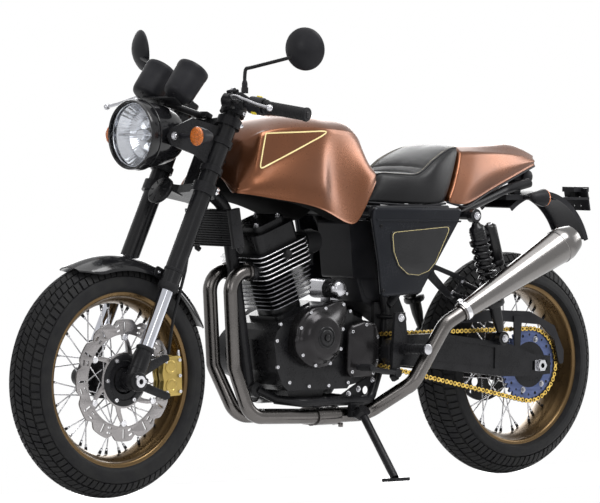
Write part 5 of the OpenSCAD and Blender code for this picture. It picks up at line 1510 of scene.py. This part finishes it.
class RACER_OT_front_brake(bpy.types.Operator):
    """Front caliper, disc, its buttons and carrier bolts"""

    bl_idname = "racer.front_brake"
    bl_label = "Front brake"

    def execute(self, context):
        base = FORK @ turn(28, "Y")
        caliper = Shape()
        for y0, y1 in ((42, 57.5), (66.5, 86)):
            outline = rounded([(-176, -46), (-168, -52), (-118, -52), (-110, -34), (-114, -10), (-110, 10),
                (-114, 34), (-118, 52), (-168, 52), (-176, 46)], 7)
            caliper.plate([outline], y1 - y0, base @ at(0, (y0 + y1) / 2, 0) @ UPRIGHT, 0, 2.6)
        for z in (-41, 41):
            caliper.block((16, 40, 18), base @ at(-167, 64, z), 0, 3)
        caliper.block((10, 40, 34), base @ at(-171, 64, 0), 0, 3)
        for z in (-24, 24):
            caliper.lathe([(0, 0), (18, 0), (18, 2.2), (16, 3.4), (12, 3.6), (11, 2.8), (0, 2.8)],
                base @ at(-138, 85.6, z) @ ACROSS, 0, 32)
            caliper.lathe([(0, 0), (18, 0), (18, 3), (16, 4.4), (0, 4.6)],
                base @ at(-138, 42.4, z) @ UPRIGHT, 0, 32)
            caliper.tube([(-158, 46, z * 0.62), (-158, 82, z * 0.62)], 3.4, base, 1, 14)
        caliper.tube([(-172, 78, 50), (-172, 78, 60), (-172, 78, 66)], [4.4, 3.6, 2.4], base, 1, 14)
        caliper.done("front_caliper_body", "steering", ["gold_caliper", "steel"], "gold_caliper",
            ("front_caliper",))
        bolts = [base @ at(-120, 87, z) @ ACROSS for z in (-40, 40)]
        bolts += [base @ at(-166, 86, z) @ ACROSS for z in (-41, 0, 41)]
        repeated("front_caliper_bolts", cap_screw(5, 5), bolts, "steering")
        hub = at(FRONT_X, 0, FRONT_R) @ ACROSS
        edge, inner, star = [], [], []
        for k in range(288):
            a = 2 * math.pi * k / 288
            lobe = (12 * k / 288) % 1 - 0.5
            arm = math.degrees(a) % 60 - 30
            rise = bell(arm, 4.6, 4)
            edge.append(polar(157.8 - 11 * bell(lobe, 0.13), a))
            inner.append(polar(119 - 10 * rise, a))
            star.append(polar(72 + 43 * rise, a + math.radians(15) * (rise - 1)))
        holes = []
        for k in range(12):
            for spin, r, long, wide, lie in ((30 * k, 138, 25, 5.4, 0), (30 * k + 10, 142, 5.0, 15, 12),
                    (30 * k + 9, 129, 5.0, 13, 12)):
                (cx, cy), (c, s) = polar(r, math.radians(spin)), polar(1, math.radians(spin + lie))
                box = oblong(long / 2, wide / 2, 1.8, 2)
                holes.append([(cx + x * c - y * s, cy + x * s + y * c) for x, y in box])
        disc = Shape()
        disc.plate([edge, inner] + holes, 4.6, hub @ at(0, 0, 62), 0, 0.4)
        disc.plate([star, circle(63, 64)], 3.6, hub @ at(0, 0, 62), 0, 0.6)
        disc.band([(36, 54), (66, 56), (68, 58), (68, 63.6), (66, 65), (52, 66), (50, 64), (36, 64)], hub, 1,
            72)
        disc.done("front_disc_rotor", "front_wheel", ["disc_steel", "black_steel"], "steel", ("front_disc",),
            34)
        button = Shape()
        button.lathe([(0, -4), (8.6, -4), (8.6, 3.2), (7.8, 3.9), (5, 3.9), (4.4, 2.9), (0, 2.9)], steps=24)
        spots = [hub @ turn(60 * k + 30, "Z") @ at(111, 0, 62) for k in range(6)]
        repeated("front_disc_buttons", button, spots, "front_wheel")
        spots = [hub @ turn(60 * k, "Z") @ at(58, 0, 65.4) for k in range(6)]
        repeated("front_disc_bolts", cap_screw(5.6, 6), spots, "front_wheel")
        return {"FINISHED"}


class RACER_OT_fork_details(bpy.types.Operator):
    """Fork caps, seals, clamp screws and axle pinch screws"""

    bl_idname = "racer.fork_details"
    bl_label = "Fork details"

    def execute(self, context):
        shape = Shape()
        for m in BOTH:
            base = FORK @ m @ at(0, 100, 0)
            shape.band([(19.6, 254), (24, 254), (26.4, 257), (27, 262), (27, 272), (26, 275), (25.2, 276),
                (19.6, 276)], base, 0, 48)
            shape.band([(25.0, 306), (26.6, 307), (26.8, 310), (26.6, 313), (25.0, 314)], base, 0, 48)
            shape.lathe([(0, 790), (22, 790), (23, 791.4), (23, 796), (21, 798), (0, 798)], base, 1, 48)
            shape.lathe([(0, 797), (6, 797), (6, 806), (4.6, 807.4), (0, 807.4)], base, 2, 20)
            shape.band([(19.2, 84.6), (23, 84.6), (24.4, 87), (24.4, 92), (22, 95), (19.2, 95)], base, 0, 48)
            shape.lathe([(0, 3), (20, 3), (23.6, 5), (25, 9), (25, 62), (24.4, 70), (23, 78), (21.6, 84),
                (0, 84)], base, 3, 48)
            shape.lathe([(0, -26), (22.6, -26), (25, -24.6), (26, -22), (26, 22), (25, 24.6), (22.6, 26),
                (0, 26)], base @ ACROSS, 3, 48)
            shape.block((22, 34, 26), base @ at(-24, 0, 8), 3, 4)
            shape.band([(24.6, 30), (25.8, 31), (25.8, 35), (24.6, 36)], base, 3, 48)
        base = FORK @ turn(28, "Y")
        arm = [(6, -18), (-30, -26), (-112, -59), (-127, -55), (-128, -43), (-116, -38), (-46, -8), (-42, 8),
            (-112, 38), (-128, 43), (-127, 55), (-112, 59), (-28, 38), (-10, 42), (12, 20)]
        shape.plate([rounded(arm, 5)], 9, base @ at(0, 90.8, 0) @ UPRIGHT, 3, 2)
        shape.done("fork_seals_and_caps", "steering", ["rubber", "black_steel", "bare_alloy", "satin_black"],
            "black_steel", ("fork_feet",))
        screws = []
        for m in BOTH:
            for z in (541, 550, 733):
                screws.append(FORK @ m @ at(-20, 128, z) @ ACROSS @ turn(40, "X"))
            for z in (-14, 14):
                screws.append(FORK @ m @ at(z, 126, 8 - abs(z) * 0.1) @ ACROSS)
            screws.append(FORK @ m @ at(-8, 134, 764) @ ACROSS)
        repeated("fork_screws", cap_screw(5, 6), screws, "steering")
        return {"FINISHED"}


class RACER_OT_engine(bpy.types.Operator):
    """Engine dress: bright fin edges on the head, darker ones on the barrel as painted shade, covers,
    starter, plug lead, screws
    """

    bl_idname = "racer.engine"
    bl_label = "Engine"

    def execute(self, context):
        edges, dim = Shape(), Shape()
        rows = [(34 + i * 12.5, 92 + 5 * i, 96 + 3 * i) for i in range(7)]
        rows += [(HEAD_Z + 2 + i * 12.5, 124, 128) for i in range(6)]
        for index, (z, a, b) in enumerate(rows):
            x, y = a / 2 + 26, b / 2 + 26
            outline = rounded([(x, y), (-x, y), (-x, -y), (x, -y)], 26, 8)
            rings = []
            for dr, dz in ((-0.8, 0.2), (0.5, 0.5), (0.9, 1.0), (0.9, 2.2), (0.5, 2.8), (-0.8, 3.1)):
                ring = []
                for x, y in outline:
                    d = Vector((x, y)).normalized()
                    ring.append((x + d.x * dr, y + d.y * dr, z + dz))
                rings.append(ring)
            # The barrel's lower fin edges take the darker copy of the fin metal, as painted shade
            (edges if index > 6 else dim).rings(rings, BARREL, closed=True)
        dim.done("barrel_fin_edges", "chassis", ["fin_edge_painted_shade"], "bare_alloy", (), 50)
        edges.done("fin_edges", "chassis", ["fin_edge"], "bare_alloy", (), 50)
        cover = Shape()
        centre = (98, 408)
        rings = []
        for y, k in ((0, 1.0), (20, 1.0), (28, 0.985), (32.5, 0.955), (34.5, 0.91), (36, 0.86), (43, 0.80),
                (50, 0.72), (54, 0.66), (56, 0.60), (56.6, 0.52), (56.6, 0.02)):
            ring = []
            for s in range(96):
                a = 2 * math.pi * s / 96
                d = math.degrees(a)
                bulge = 43 * bell(d - 134, 20) + 6 * bell(d - 340, 24)
                x, z = polar(84 * k + bulge * max(0.0, min(1, (k - 0.72) / 0.2)), a, *centre)
                ring.append((x, y, z))
            rings.append(ring)
        base = at(0, 98.3, 0)
        cover.rings(rings, base)
        plug = base @ at(98, 53, 408) @ ACROSS
        cover.lathe([(0, 0), (30, 0), (30, 4), (28.6, 5.4), (26, 5.6), (25, 4), (22, 4), (21, 6.4),
            (19, 7.4), (12.4, 7.6), (12, 5), (9, 5), (8.6, 9.4), (7.4, 10), (0, 10)], plug, 1, 48)
        cover.done("left_cover_shell", "chassis", ["cover_grey", "engine_black"], "cover_grey",
            ("left_engine_cover",), 42)
        screws = []
        for d, r in ((20, 77), (60, 77), (100, 78), (132, 116), (165, 79), (205, 77), (245, 77), (285, 77),
                (325, 80)):
            x, z = polar(r, math.radians(d), *centre)
            screws.append(base @ at(x, 33, z) @ ACROSS)
        box = Shape()
        outline = rounded([(-22, 296), (-12, 316), (-12, 418), (-24, 436), (-70, 450), (-112, 442),
            (-130, 412), (-130, 332), (-106, 294)], 18)
        middle = Vector((-72, 372))
        rings = []
        for y, k in ((110, 1.0), (116, 1.0), (121, 0.985), (125, 0.95), (127.4, 0.90), (128.6, 0.8),
                (129.4, 0.6), (129.8, 0.3), (129.9, 0.02)):
            ring = []
            for q in outline:
                w = middle + (Vector(q) - middle) * k
                ring.append((w.x, y - 10 * ((w.x + 72) / 60) ** 2 * (1 if y > 118 else 0), w.y))
            rings.append(ring)
        box.rings(rings)
        for z in (306, 424):
            box.tube([(-34, 98.4, z), (-34, 116, z)], 7, None, 0, 18)
        box.done("sprocket_cover_shell", "chassis", ["cover_grey"], "black_plastic", ("sprocket_cover",), 40)
        starter = Shape()
        spin = at(-2, 38, 533) @ UPRIGHT
        starter.lathe([(0, -64), (15, -64), (19, -61), (24, -54), (26.4, -48), (27, -44), (27, -20),
            (28, -18), (28, -12), (27, -10), (27, 40), (26, 46), (22, 49), (0, 50)], spin, 0, 48)
        starter.block((28, 44, 40), at(-2, 52, 503.6), 0, 4)
        for k in range(2):
            starter.tube([(0, 0, -62), (0, 0, -40)], 4, spin @ turn(180 * k + 30, "Z") @ at(24, 0, 0), 1, 14)
        starter.done("starter_body", "chassis", ["bare_alloy", "steel"], "bare_alloy", ("starter_motor",))
        for x, z in ((-26, 312), (-26, 420), (-70, 438), (-116, 404), (-116, 340), (-98, 308)):
            screws.append(at(x, 124.6 - 10 * ((x + 72) / 60) ** 2, z) @ ACROSS)
        for x, z in ((-30, 282), (40, 276), (110, 276), (180, 288), (222, 330), (226, 400), (214, 444),
                (-34, 474)):
            screws.append(at(x, 98, z) @ ACROSS)
        repeated("cover_screws", cap_screw(5, 5), screws)
        right = []
        for k in range(9):
            x, z = polar(96, math.radians(40 * k), 60, 386)
            right.append(at(x, -138, z) @ UPRIGHT)
        repeated("right_cover_screws", cap_screw(4.6, 5), right)
        plug_lead = Shape()
        top = BARREL @ at(0, 78, HEAD_Z + 40)
        plug_lead.lathe([(0, -8), (9, -8), (9, 4), (12, 6), (12, 20), (8, 26), (0, 26)],
            top @ turn(-60, "X"), 0, 24)
        plug_lead.done("plug_cap", "chassis", ["rubber"], "rubber")
        nuts = [BARREL @ at(sx * 52, sy * 56, HEAD_Z + 81) for sx in (1, -1) for sy in (1, -1)]
        nuts += [BARREL @ at(sx * 40, sy * 44, HEAD_Z + 139) for sx in (1, -1) for sy in (1, -1)]
        repeated("head_nuts", hex_nut(6, 6), nuts)
        return {"FINISHED"}


class RACER_OT_oil_cooler(bpy.types.Operator):
    """Oil cooler: tanks, tubes and folded fins"""

    bl_idname = "racer.oil_cooler"
    bl_label = "Oil cooler"

    def execute(self, context):
        base = at(363, 0, 698) @ turn(10.3, "Y")
        shape = Shape()
        for m in BOTH:
            shape.block((36, 14, 104), base @ m @ at(0, 86, 0), 0, 3)
            shape.block((40, 9, 60), base @ m @ at(-26, 23.3, 0), 0, 2)
            shape.tube([(-4, 86, -50), (-4, 86, -58), (-10, 84, -64)], [8, 8, 7], base @ m, 0, 16)
        shape.block((22, 164, 96), base, 1, 1)
        shape.done("cooler_tanks", "chassis", ["black_steel", "engine_black"], "black_steel", ("oil_cooler",))
        blade = Shape()
        blade.block((33, 160, 3.2), None, 0, 1.2, 2)
        repeated("cooler_blades", blade, [base @ at(0.5, 0, -45.5 + 6.5 * i) for i in range(15)],
            finish="black_steel")
        return {"FINISHED"}


class RACER_OT_exhaust(bpy.types.Operator):
    """Silencer, its hanger, clamps and flange nuts"""

    bl_idname = "racer.exhaust"
    bl_label = "Exhaust"

    def execute(self, context):
        start, stop = Vector((-352, 214, 474)), Vector((-728, 250, 672))
        long = (stop - start).length
        base = aimed(start, stop - start)
        can = Shape()
        can.lathe([(20.9, -14), (25, -14), (25.6, -11), (25.2, 4), (26, 20), (30, 90), (36, 200), (43, 310),
            (47, long - 56), (48, long - 46), (48, long - 38), (46.6, long - 30), (41, long - 12),
            (37.4, long - 2), (36.4, long), (33, long), (31, long - 3), (28, long - 14), (23, long - 20),
            (22.6, long - 60), (20, long - 60), (0, long - 60)], base, 0, 72)
        can.band([(25.0, -9), (28.6, -9), (29, -7), (29, 3), (28.6, 5), (25.0, 5)], base, 1, 48)
        can.block((12, 10, 16), base @ at(0, 30, -2), 1, 2)
        can.band([(46.8, long - 58), (48.4, long - 57), (48.4, long - 53), (46.8, long - 52)], base, 0, 72)
        plate = [(-264, 584), (-270, 602), (-292, 606), (-440, 560), (-436, 532), (-384, 498), (-366, 506)]
        hole = [(-300, 590), (-420, 552), (-384, 516)]
        can.plate([rounded(plate, 8), rounded(hole, 8)], 6, at(0, 127, 0) @ UPRIGHT, 2, 1)
        can.tube([(-388, 127, 516), (-388, 214, 500)], 7, None, 2, 18)
        can.tube([(-426, 127, 546), (-426, 214, 520)], 7, None, 2, 18)
        can.done("silencer_can", "chassis", ["silencer", "steel", "satin_black"], "exhaust", ("silencer",),
            40)
        nuts = [at(-388, 131, 516) @ ACROSS, at(-426, 131, 546) @ ACROSS, at(-286, 130.5, 594) @ ACROSS]
        repeated("hanger_nuts", hex_nut(7, 6), nuts)
        clamp = Shape()
        for x, y, r, ear in ((-18, 61.4, 25.2, (-18, 61.4 + 26, 168)), (62, 58, 20.6, (62, 58, 172))):
            clamp.tube([(x + 6, y, 192), (x - 6, y, 192)], r, None, 0, 36)
            clamp.block((11, 10, 12), at(*ear), 0, 2)
        clamp.done("exhaust_clamps", "chassis", ["exhaust"], "exhaust")
        return {"FINISHED"}


PANEL = [(-62, 756), (-392, 752), (-378, 716), (-236, 520), (-96, 512), (-84, 600), (-58, 722)]


class RACER_OT_side_panels(bpy.types.Operator):
    """Side panels with their bare D-shaped plates, and the tray under the battery box"""

    bl_idname = "racer.side_panels"
    bl_label = "Side panels"

    def execute(self, context):
        for name, m in SIDES:
            shape = Shape()
            flip = m @ at(0, 155, 0) @ UPRIGHT
            shape.plate([rounded(PANEL, 16)], 18, flip, 0, 8)
            outline = rounded([(-118, 690), (-346, 706), (-324, 668), (-288, 604), (-262, 580), (-222, 568),
                (-180, 572), (-146, 596), (-126, 634)], 14, 4)
            shape.plate([outline], 4, m @ at(0, 165, 0) @ UPRIGHT, 1, 1)
            centre = Vector((sum(p[0] for p in outline) / len(outline),
                sum(p[1] for p in outline) / len(outline)))
            inner = [tuple(centre + (Vector(p) - centre) * 0.955) for p in outline]
            thin = [tuple(centre + (Vector(p) - centre) * 0.944) for p in outline]
            shape.plate([inner, thin], 1.2, m @ at(0, 167.2, 0) @ UPRIGHT, 2, 0.2)
            shape.plate([rounded([(-66, 724), (-382, 718), (-378, 713), (-68, 718)], 2)], 4,
                m @ at(0, 165, 0) @ UPRIGHT, 0, 1)
            shape.done(name + "_panel_shell", "chassis", ["panel_grey", "gloss_black", "trim_cream"],
                "black_plastic", (name + "_side_panel",), 40)
        screws = [m @ at(x, 164, z) @ ACROSS for m in BOTH for x, z in ((-96, 530), (-84, 704))]
        repeated("panel_screws", cap_screw(5, 3.4), screws, finish="black_steel")
        tray = Shape()
        outline = [(-94, 574), (-236, 578), (-262, 500), (-296, 436), (-250, 432), (-190, 466), (-122, 496)]
        tray.plate([rounded(outline, 14)], 108, UPRIGHT, 0, 4)
        tray.plate([rounded([(-108, 562), (-222, 564), (-244, 500), (-190, 484), (-130, 508)], 12)], 112,
            UPRIGHT, 0, 2)
        tray.done("battery_tray", "chassis", ["black_plastic"], "black_plastic", sharp=34)
        return {"FINISHED"}


class RACER_OT_shocks(bpy.types.Operator):
    """Rear shocks: springs, bodies, adjuster rings and remote pots"""

    bl_idname = "racer.shocks"
    bl_label = "Rear shocks"

    def execute(self, context):
        top, foot = Vector((-434, 160, 731)), Vector((-549, 160, 392))
        axis = (foot - top).normalized()
        long = (foot - top).length
        for name, m in SIDES:
            base = m @ aimed(top, axis)
            shape = Shape()
            shape.lathe([(0, 20), (10, 20), (14, 28), (20, 32), (22, 36), (22, 66), (24, 68), (29, 69),
                (29, 76), (24, 78), (18, 80), (18, 150), (8, 152), (8, long - 112), (26, long - 112),
                (29.6, long - 110), (30, long - 100), (27, long - 95), (17, long - 93), (16, long - 60),
                (13, long - 40), (10, long - 20), (0, long - 18)], base, 0, 48)
            for z in (42, 50, 58):
                shape.band([(21.6, z), (23.4, z + 0.6), (23.4, z + 3.4), (21.6, z + 4)], base, 0, 48)
            for p in (top, foot):
                shape.band([(7, -11), (17.6, -11), (19, -9.6), (19, 9.6), (17.6, 11), (7, 11)],
                    m @ at(*p) @ UPRIGHT, 0, 40)
                shape.lathe([(0, -12.6), (7.4, -12.6), (7.4, 12.6), (0, 12.6)], m @ at(*p) @ UPRIGHT,
                    1, 24)
            pot = top + axis * 34 + Vector((-48, 0, 6))
            shape.lathe([(0, -2), (12, -2), (15, 0), (18.4, 3), (19, 6), (19, 98), (18, 100), (19, 102),
                (19, 114), (17, 118), (0, 119)], m @ aimed(pot, axis), 0, 40)
            shape.lathe([(0, -6), (7, -6), (7.6, -4), (7.6, 0), (0, 0)], m @ aimed(pot, axis), 1, 20)
            shape.tube([pot + axis * 20, top + axis * 50], 10, m, 0, 20)
            shape.done(name + "_shock_body", "chassis", ["shock_black", "steel"], "black_steel",
                (name + "_shock",))
            stub = bpy.data.meshes.new("stub")
            stub.from_pydata([(0, 0, 0)], [], [])
            coil = grown("coil", stub, Turns=8.5, Radius=24.0, Height=long - 190.0, Wire=4.6,
                Finish=FINISH["shock_black"])
            coil.transform(base @ at(0, 0, 77))
            if m is BOTH[1]:
                coil.flip_normals()
            placed(name + "_shock_spring", coil, "chassis", ["shock_black"])
        nuts = [m @ at(p.x, 172.4, p.z) @ ACROSS for m in BOTH for p in (top, foot)]
        repeated("shock_nuts", hex_nut(8, 7), nuts)
        return {"FINISHED"}


class RACER_OT_drive(bpy.types.Operator):
    """Gold chain, toothed sprocket ring, axle adjusters and their screws"""

    bl_idname = "racer.drive"
    bl_label = "Chain drive"

    def execute(self, context):
        rear = Vector((REAR_X, REAR_R))
        front = Vector((-104, 372))
        r_rear = CHAIN_PITCH / (2 * math.sin(math.pi / REAR_TEETH))
        r_front = CHAIN_PITCH / (2 * math.sin(math.pi / FRONT_TEETH))
        gap = front - rear
        lift = math.atan2(gap.y, gap.x)
        splay = math.acos((r_rear - r_front) / gap.length)
        path = []
        for k in range(61):
            a = lift + splay + (2 * math.pi - 2 * splay) * k / 60
            path.append(rear + Vector(polar(1, a)) * r_rear)
        for k in range(41):
            a = lift - splay + 2 * splay * k / 40
            path.append(front + Vector(polar(1, a)) * r_front)
        length = sum((path[i] - path[i - 1]).length for i in range(len(path)))
        count = 2 * round(length / CHAIN_PITCH / 2)
        pitch = length / count
        spots, walk, target = [], 0.0, 0.0
        for here, ahead in zip(path, path[1:] + path[:1]):
            step = (ahead - here).length
            while target <= walk + step + 1e-6 and len(spots) < count:
                spots.append(here.lerp(ahead, (target - walk) / step if step else 0))
                target += pitch
            walk += step
        inner_frames, outer_frames = [], []
        for k in range(count):
            a, b = spots[k], spots[(k + 1) % count]
            mid = (a + b) / 2
            spin = math.atan2(b.y - a.y, b.x - a.x)
            m = at(mid.x, CHAIN_Y, mid.y) @ Matrix.Rotation(-spin, 4, "Y")
            (inner_frames if k % 2 else outer_frames).append(m)
        waist = [polar(6.3, math.pi / 2 - math.pi * k / 13, pitch / 2) for k in range(14)] + [(0, -3.4)]
        bone = waist + [(-x, -y) for x, y in waist]
        pin = Shape()
        for kind, frames, ys, finish, hides in (
            ("outer", outer_frames, (-8.0, 8.0), "gold_chain", ("chain",)),
            ("inner", inner_frames, (-5.8, 5.8), "dark_chain", ()),
        ):
            link = Shape()
            for y in ys:
                link.rings([[(x, y + half, z) for x, z in bone] for half in (-0.9, 0.9)])
            for x in (-pitch / 2, pitch / 2):
                if kind == "outer":
                    pin.lathe([(0, -9.6), (3.2, -9.6), (3.4, -9), (3.4, 9), (3.2, 9.6), (0, 9.6)],
                        at(x, 0, 0) @ ACROSS, 0, 10)
                else:
                    link.lathe([(0, -5), (4.9, -5), (4.9, 5), (0, 5)], at(x, 0, 0) @ ACROSS, 0, 12)
            repeated("chain_" + kind + "_links", link, frames, "chassis", finish, hides)
        repeated("chain_pins", pin, outer_frames, "chassis", "dark_chain")
        teeth = []
        tooth = 2 * math.pi / REAR_TEETH
        for k in range(REAR_TEETH):
            for t, rise in ((-0.36, -4.6), (-0.16, 3.6), (0.16, 3.6), (0.36, -4.6)):
                teeth.append(polar(r_rear + rise, (k + t) * tooth))
        ring = Shape()
        wheel = at(REAR_X, CHAIN_Y, REAR_R) @ UPRIGHT
        holes = [circle(64, 64)]
        for k in range(20):
            holes.append(circle(3.2 if k % 2 else 4.4, 14, *polar(84, math.radians(18 * k))))
        ring.plate([teeth] + holes, 7.6, wheel, 0, 0.5)
        ring.done("sprocket_ring", "rear_wheel", ["sprocket_blue"], "steel", (), 30)
        bolts = [at(REAR_X, CHAIN_Y + 3.6, REAR_R) @ ACROSS @ turn(60 * k + 12, "Z") @ at(74, 0, 0)
            for k in range(6)]
        repeated("sprocket_nuts", hex_nut(6.4, 5), bolts, "rear_wheel", "bare_alloy")
        blocks = Shape()
        for m in BOTH:
            blocks.tube([(REAR_X - 20, 129, REAR_R), (REAR_X - 48, 129, REAR_R)], 4, m, 0, 14)
            blocks.lathe([(0, 0), (7.4, 0), (7.4, 6), (6, 7), (0, 7)],
                m @ at(REAR_X - 42, 129, REAR_R) @ turn(-90, "Y"), 0, 6)
            blocks.plate([oblong(20, 15, 4), circle(16, 30)], 2.4,
                m @ at(REAR_X, 145.2, REAR_R) @ UPRIGHT, 0, 0.4)
        blocks.done("axle_adjusters", "chassis", ["bare_alloy"], "bare_alloy")
        return {"FINISHED"}


class RACER_OT_fasteners(bpy.types.Operator):
    """Frame bolts, disc bolts, peg rubbers and the gussets of the cradle"""

    bl_idname = "racer.fasteners"
    bl_label = "Fasteners and small parts"

    def execute(self, context):
        nuts = []
        for m in BOTH:
            nuts += [m @ at(-168, 145.2, 362) @ ACROSS, m @ at(-170, 156.4, 456) @ ACROSS,
                m @ at(-160, 156.4, 309) @ ACROSS]
        repeated("frame_nuts", hex_nut(8, 7), nuts)
        screws = [at(REAR_X, -84.6, REAR_R) @ UPRIGHT @ turn(60 * k + 30, "Z") @ at(46, 0, 0)
            for k in range(6)]
        repeated("rear_disc_bolts", cap_screw(5, 5), screws, "rear_wheel")
        pads = Shape()
        for m in BOTH:
            peg = m @ at(-180, 146, 372)
            for k in range(9):
                pads.tube([(0, 34 + k * 8, 1 + k * 0.22), (0, 39 + k * 8, 1.1 + k * 0.22)], 13.4, peg, 0, 28)
            pads.lathe([(0, 0), (13, 0), (14, 1), (14, 5), (12, 6), (0, 6)], peg @ at(0, 104, 3) @ ACROSS, 1,
                28)
        pads.tube([(-16, 170, 327), (-16, 208, 328.4)], 10, None, 0, 24)
        pads.tube([(-46, -164, 321), (-46, -204, 322.4)], 11, None, 0, 24)
        pads.done("peg_rubbers", "chassis", ["rubber", "bare_alloy"], "rubber")
        gussets = Shape()
        for m in BOTH:
            outline = rounded([(-8, 240), (-20, 230), (-118, 228), (-176, 318), (-166, 334), (-128, 300),
                (-70, 272)], 8)
            hole = circle(11, 24, -112, 258)
            gussets.plate([outline, hole], 6, m @ at(0, 80, 0) @ UPRIGHT, 0, 1.2)
        gussets.done("cradle_gussets", "chassis", ["black_steel"], "black_steel")
        bolts = [m @ at(x, 83, z) @ ACROSS for m in BOTH for x, z in ((-48, 250), (-84, 262), (-136, 284))]
        repeated("gusset_bolts", hex_nut(6, 5), bolts)
        return {"FINISHED"}


# Add-on

SETTINGS = {
    "racer_paint": PaintSettings, "racer_wheels": WheelSettings,
    "racer_seat": SeatSettings, "racer_stage": StageSettings,
}
OPERATORS = (
    RACER_OT_stage, RACER_OT_cad_finishes, RACER_OT_tyres, RACER_OT_rims, RACER_OT_tank, RACER_OT_seat,
    RACER_OT_tail_cowl, RACER_OT_headlamp, RACER_OT_gauges, RACER_OT_controls, RACER_OT_mirrors,
    RACER_OT_indicators, RACER_OT_front_mudguard, RACER_OT_front_brake, RACER_OT_fork_details,
    RACER_OT_engine, RACER_OT_oil_cooler, RACER_OT_exhaust, RACER_OT_side_panels, RACER_OT_shocks,
    RACER_OT_drive, RACER_OT_fasteners,
)


class RACER_PT_panel(bpy.types.Panel):
    """Lists the pieces and their settings"""

    bl_label = "Cafe racer"
    bl_idname = "RACER_PT_panel"
    bl_space_type = "VIEW_3D"
    bl_region_type = "UI"
    bl_category = "Cafe racer"

    def draw(self, context):
        for name, group in SETTINGS.items():
            box = self.layout.box()
            for key in group.__annotations__:
                box.prop(getattr(context.scene, name), key)
        for operator in OPERATORS:
            self.layout.operator(operator.bl_idname)


def register():
    for name, group in SETTINGS.items():
        bpy.utils.register_class(group)
        setattr(bpy.types.Scene, name, PointerProperty(type=group))
    for item in (*OPERATORS, RACER_PT_panel):
        bpy.utils.register_class(item)


def unregister():
    for item in reversed((*OPERATORS, RACER_PT_panel)):
        bpy.utils.unregister_class(item)
    for name, group in reversed(SETTINGS.items()):
        delattr(bpy.types.Scene, name)
        bpy.utils.unregister_class(group)


def main():
    register()
    make_finishes(bpy.context.scene.racer_paint)
    for operator in OPERATORS:
        getattr(bpy.ops.racer, operator.bl_idname.split(".")[1])()


if __name__ == "__main__":
    main()
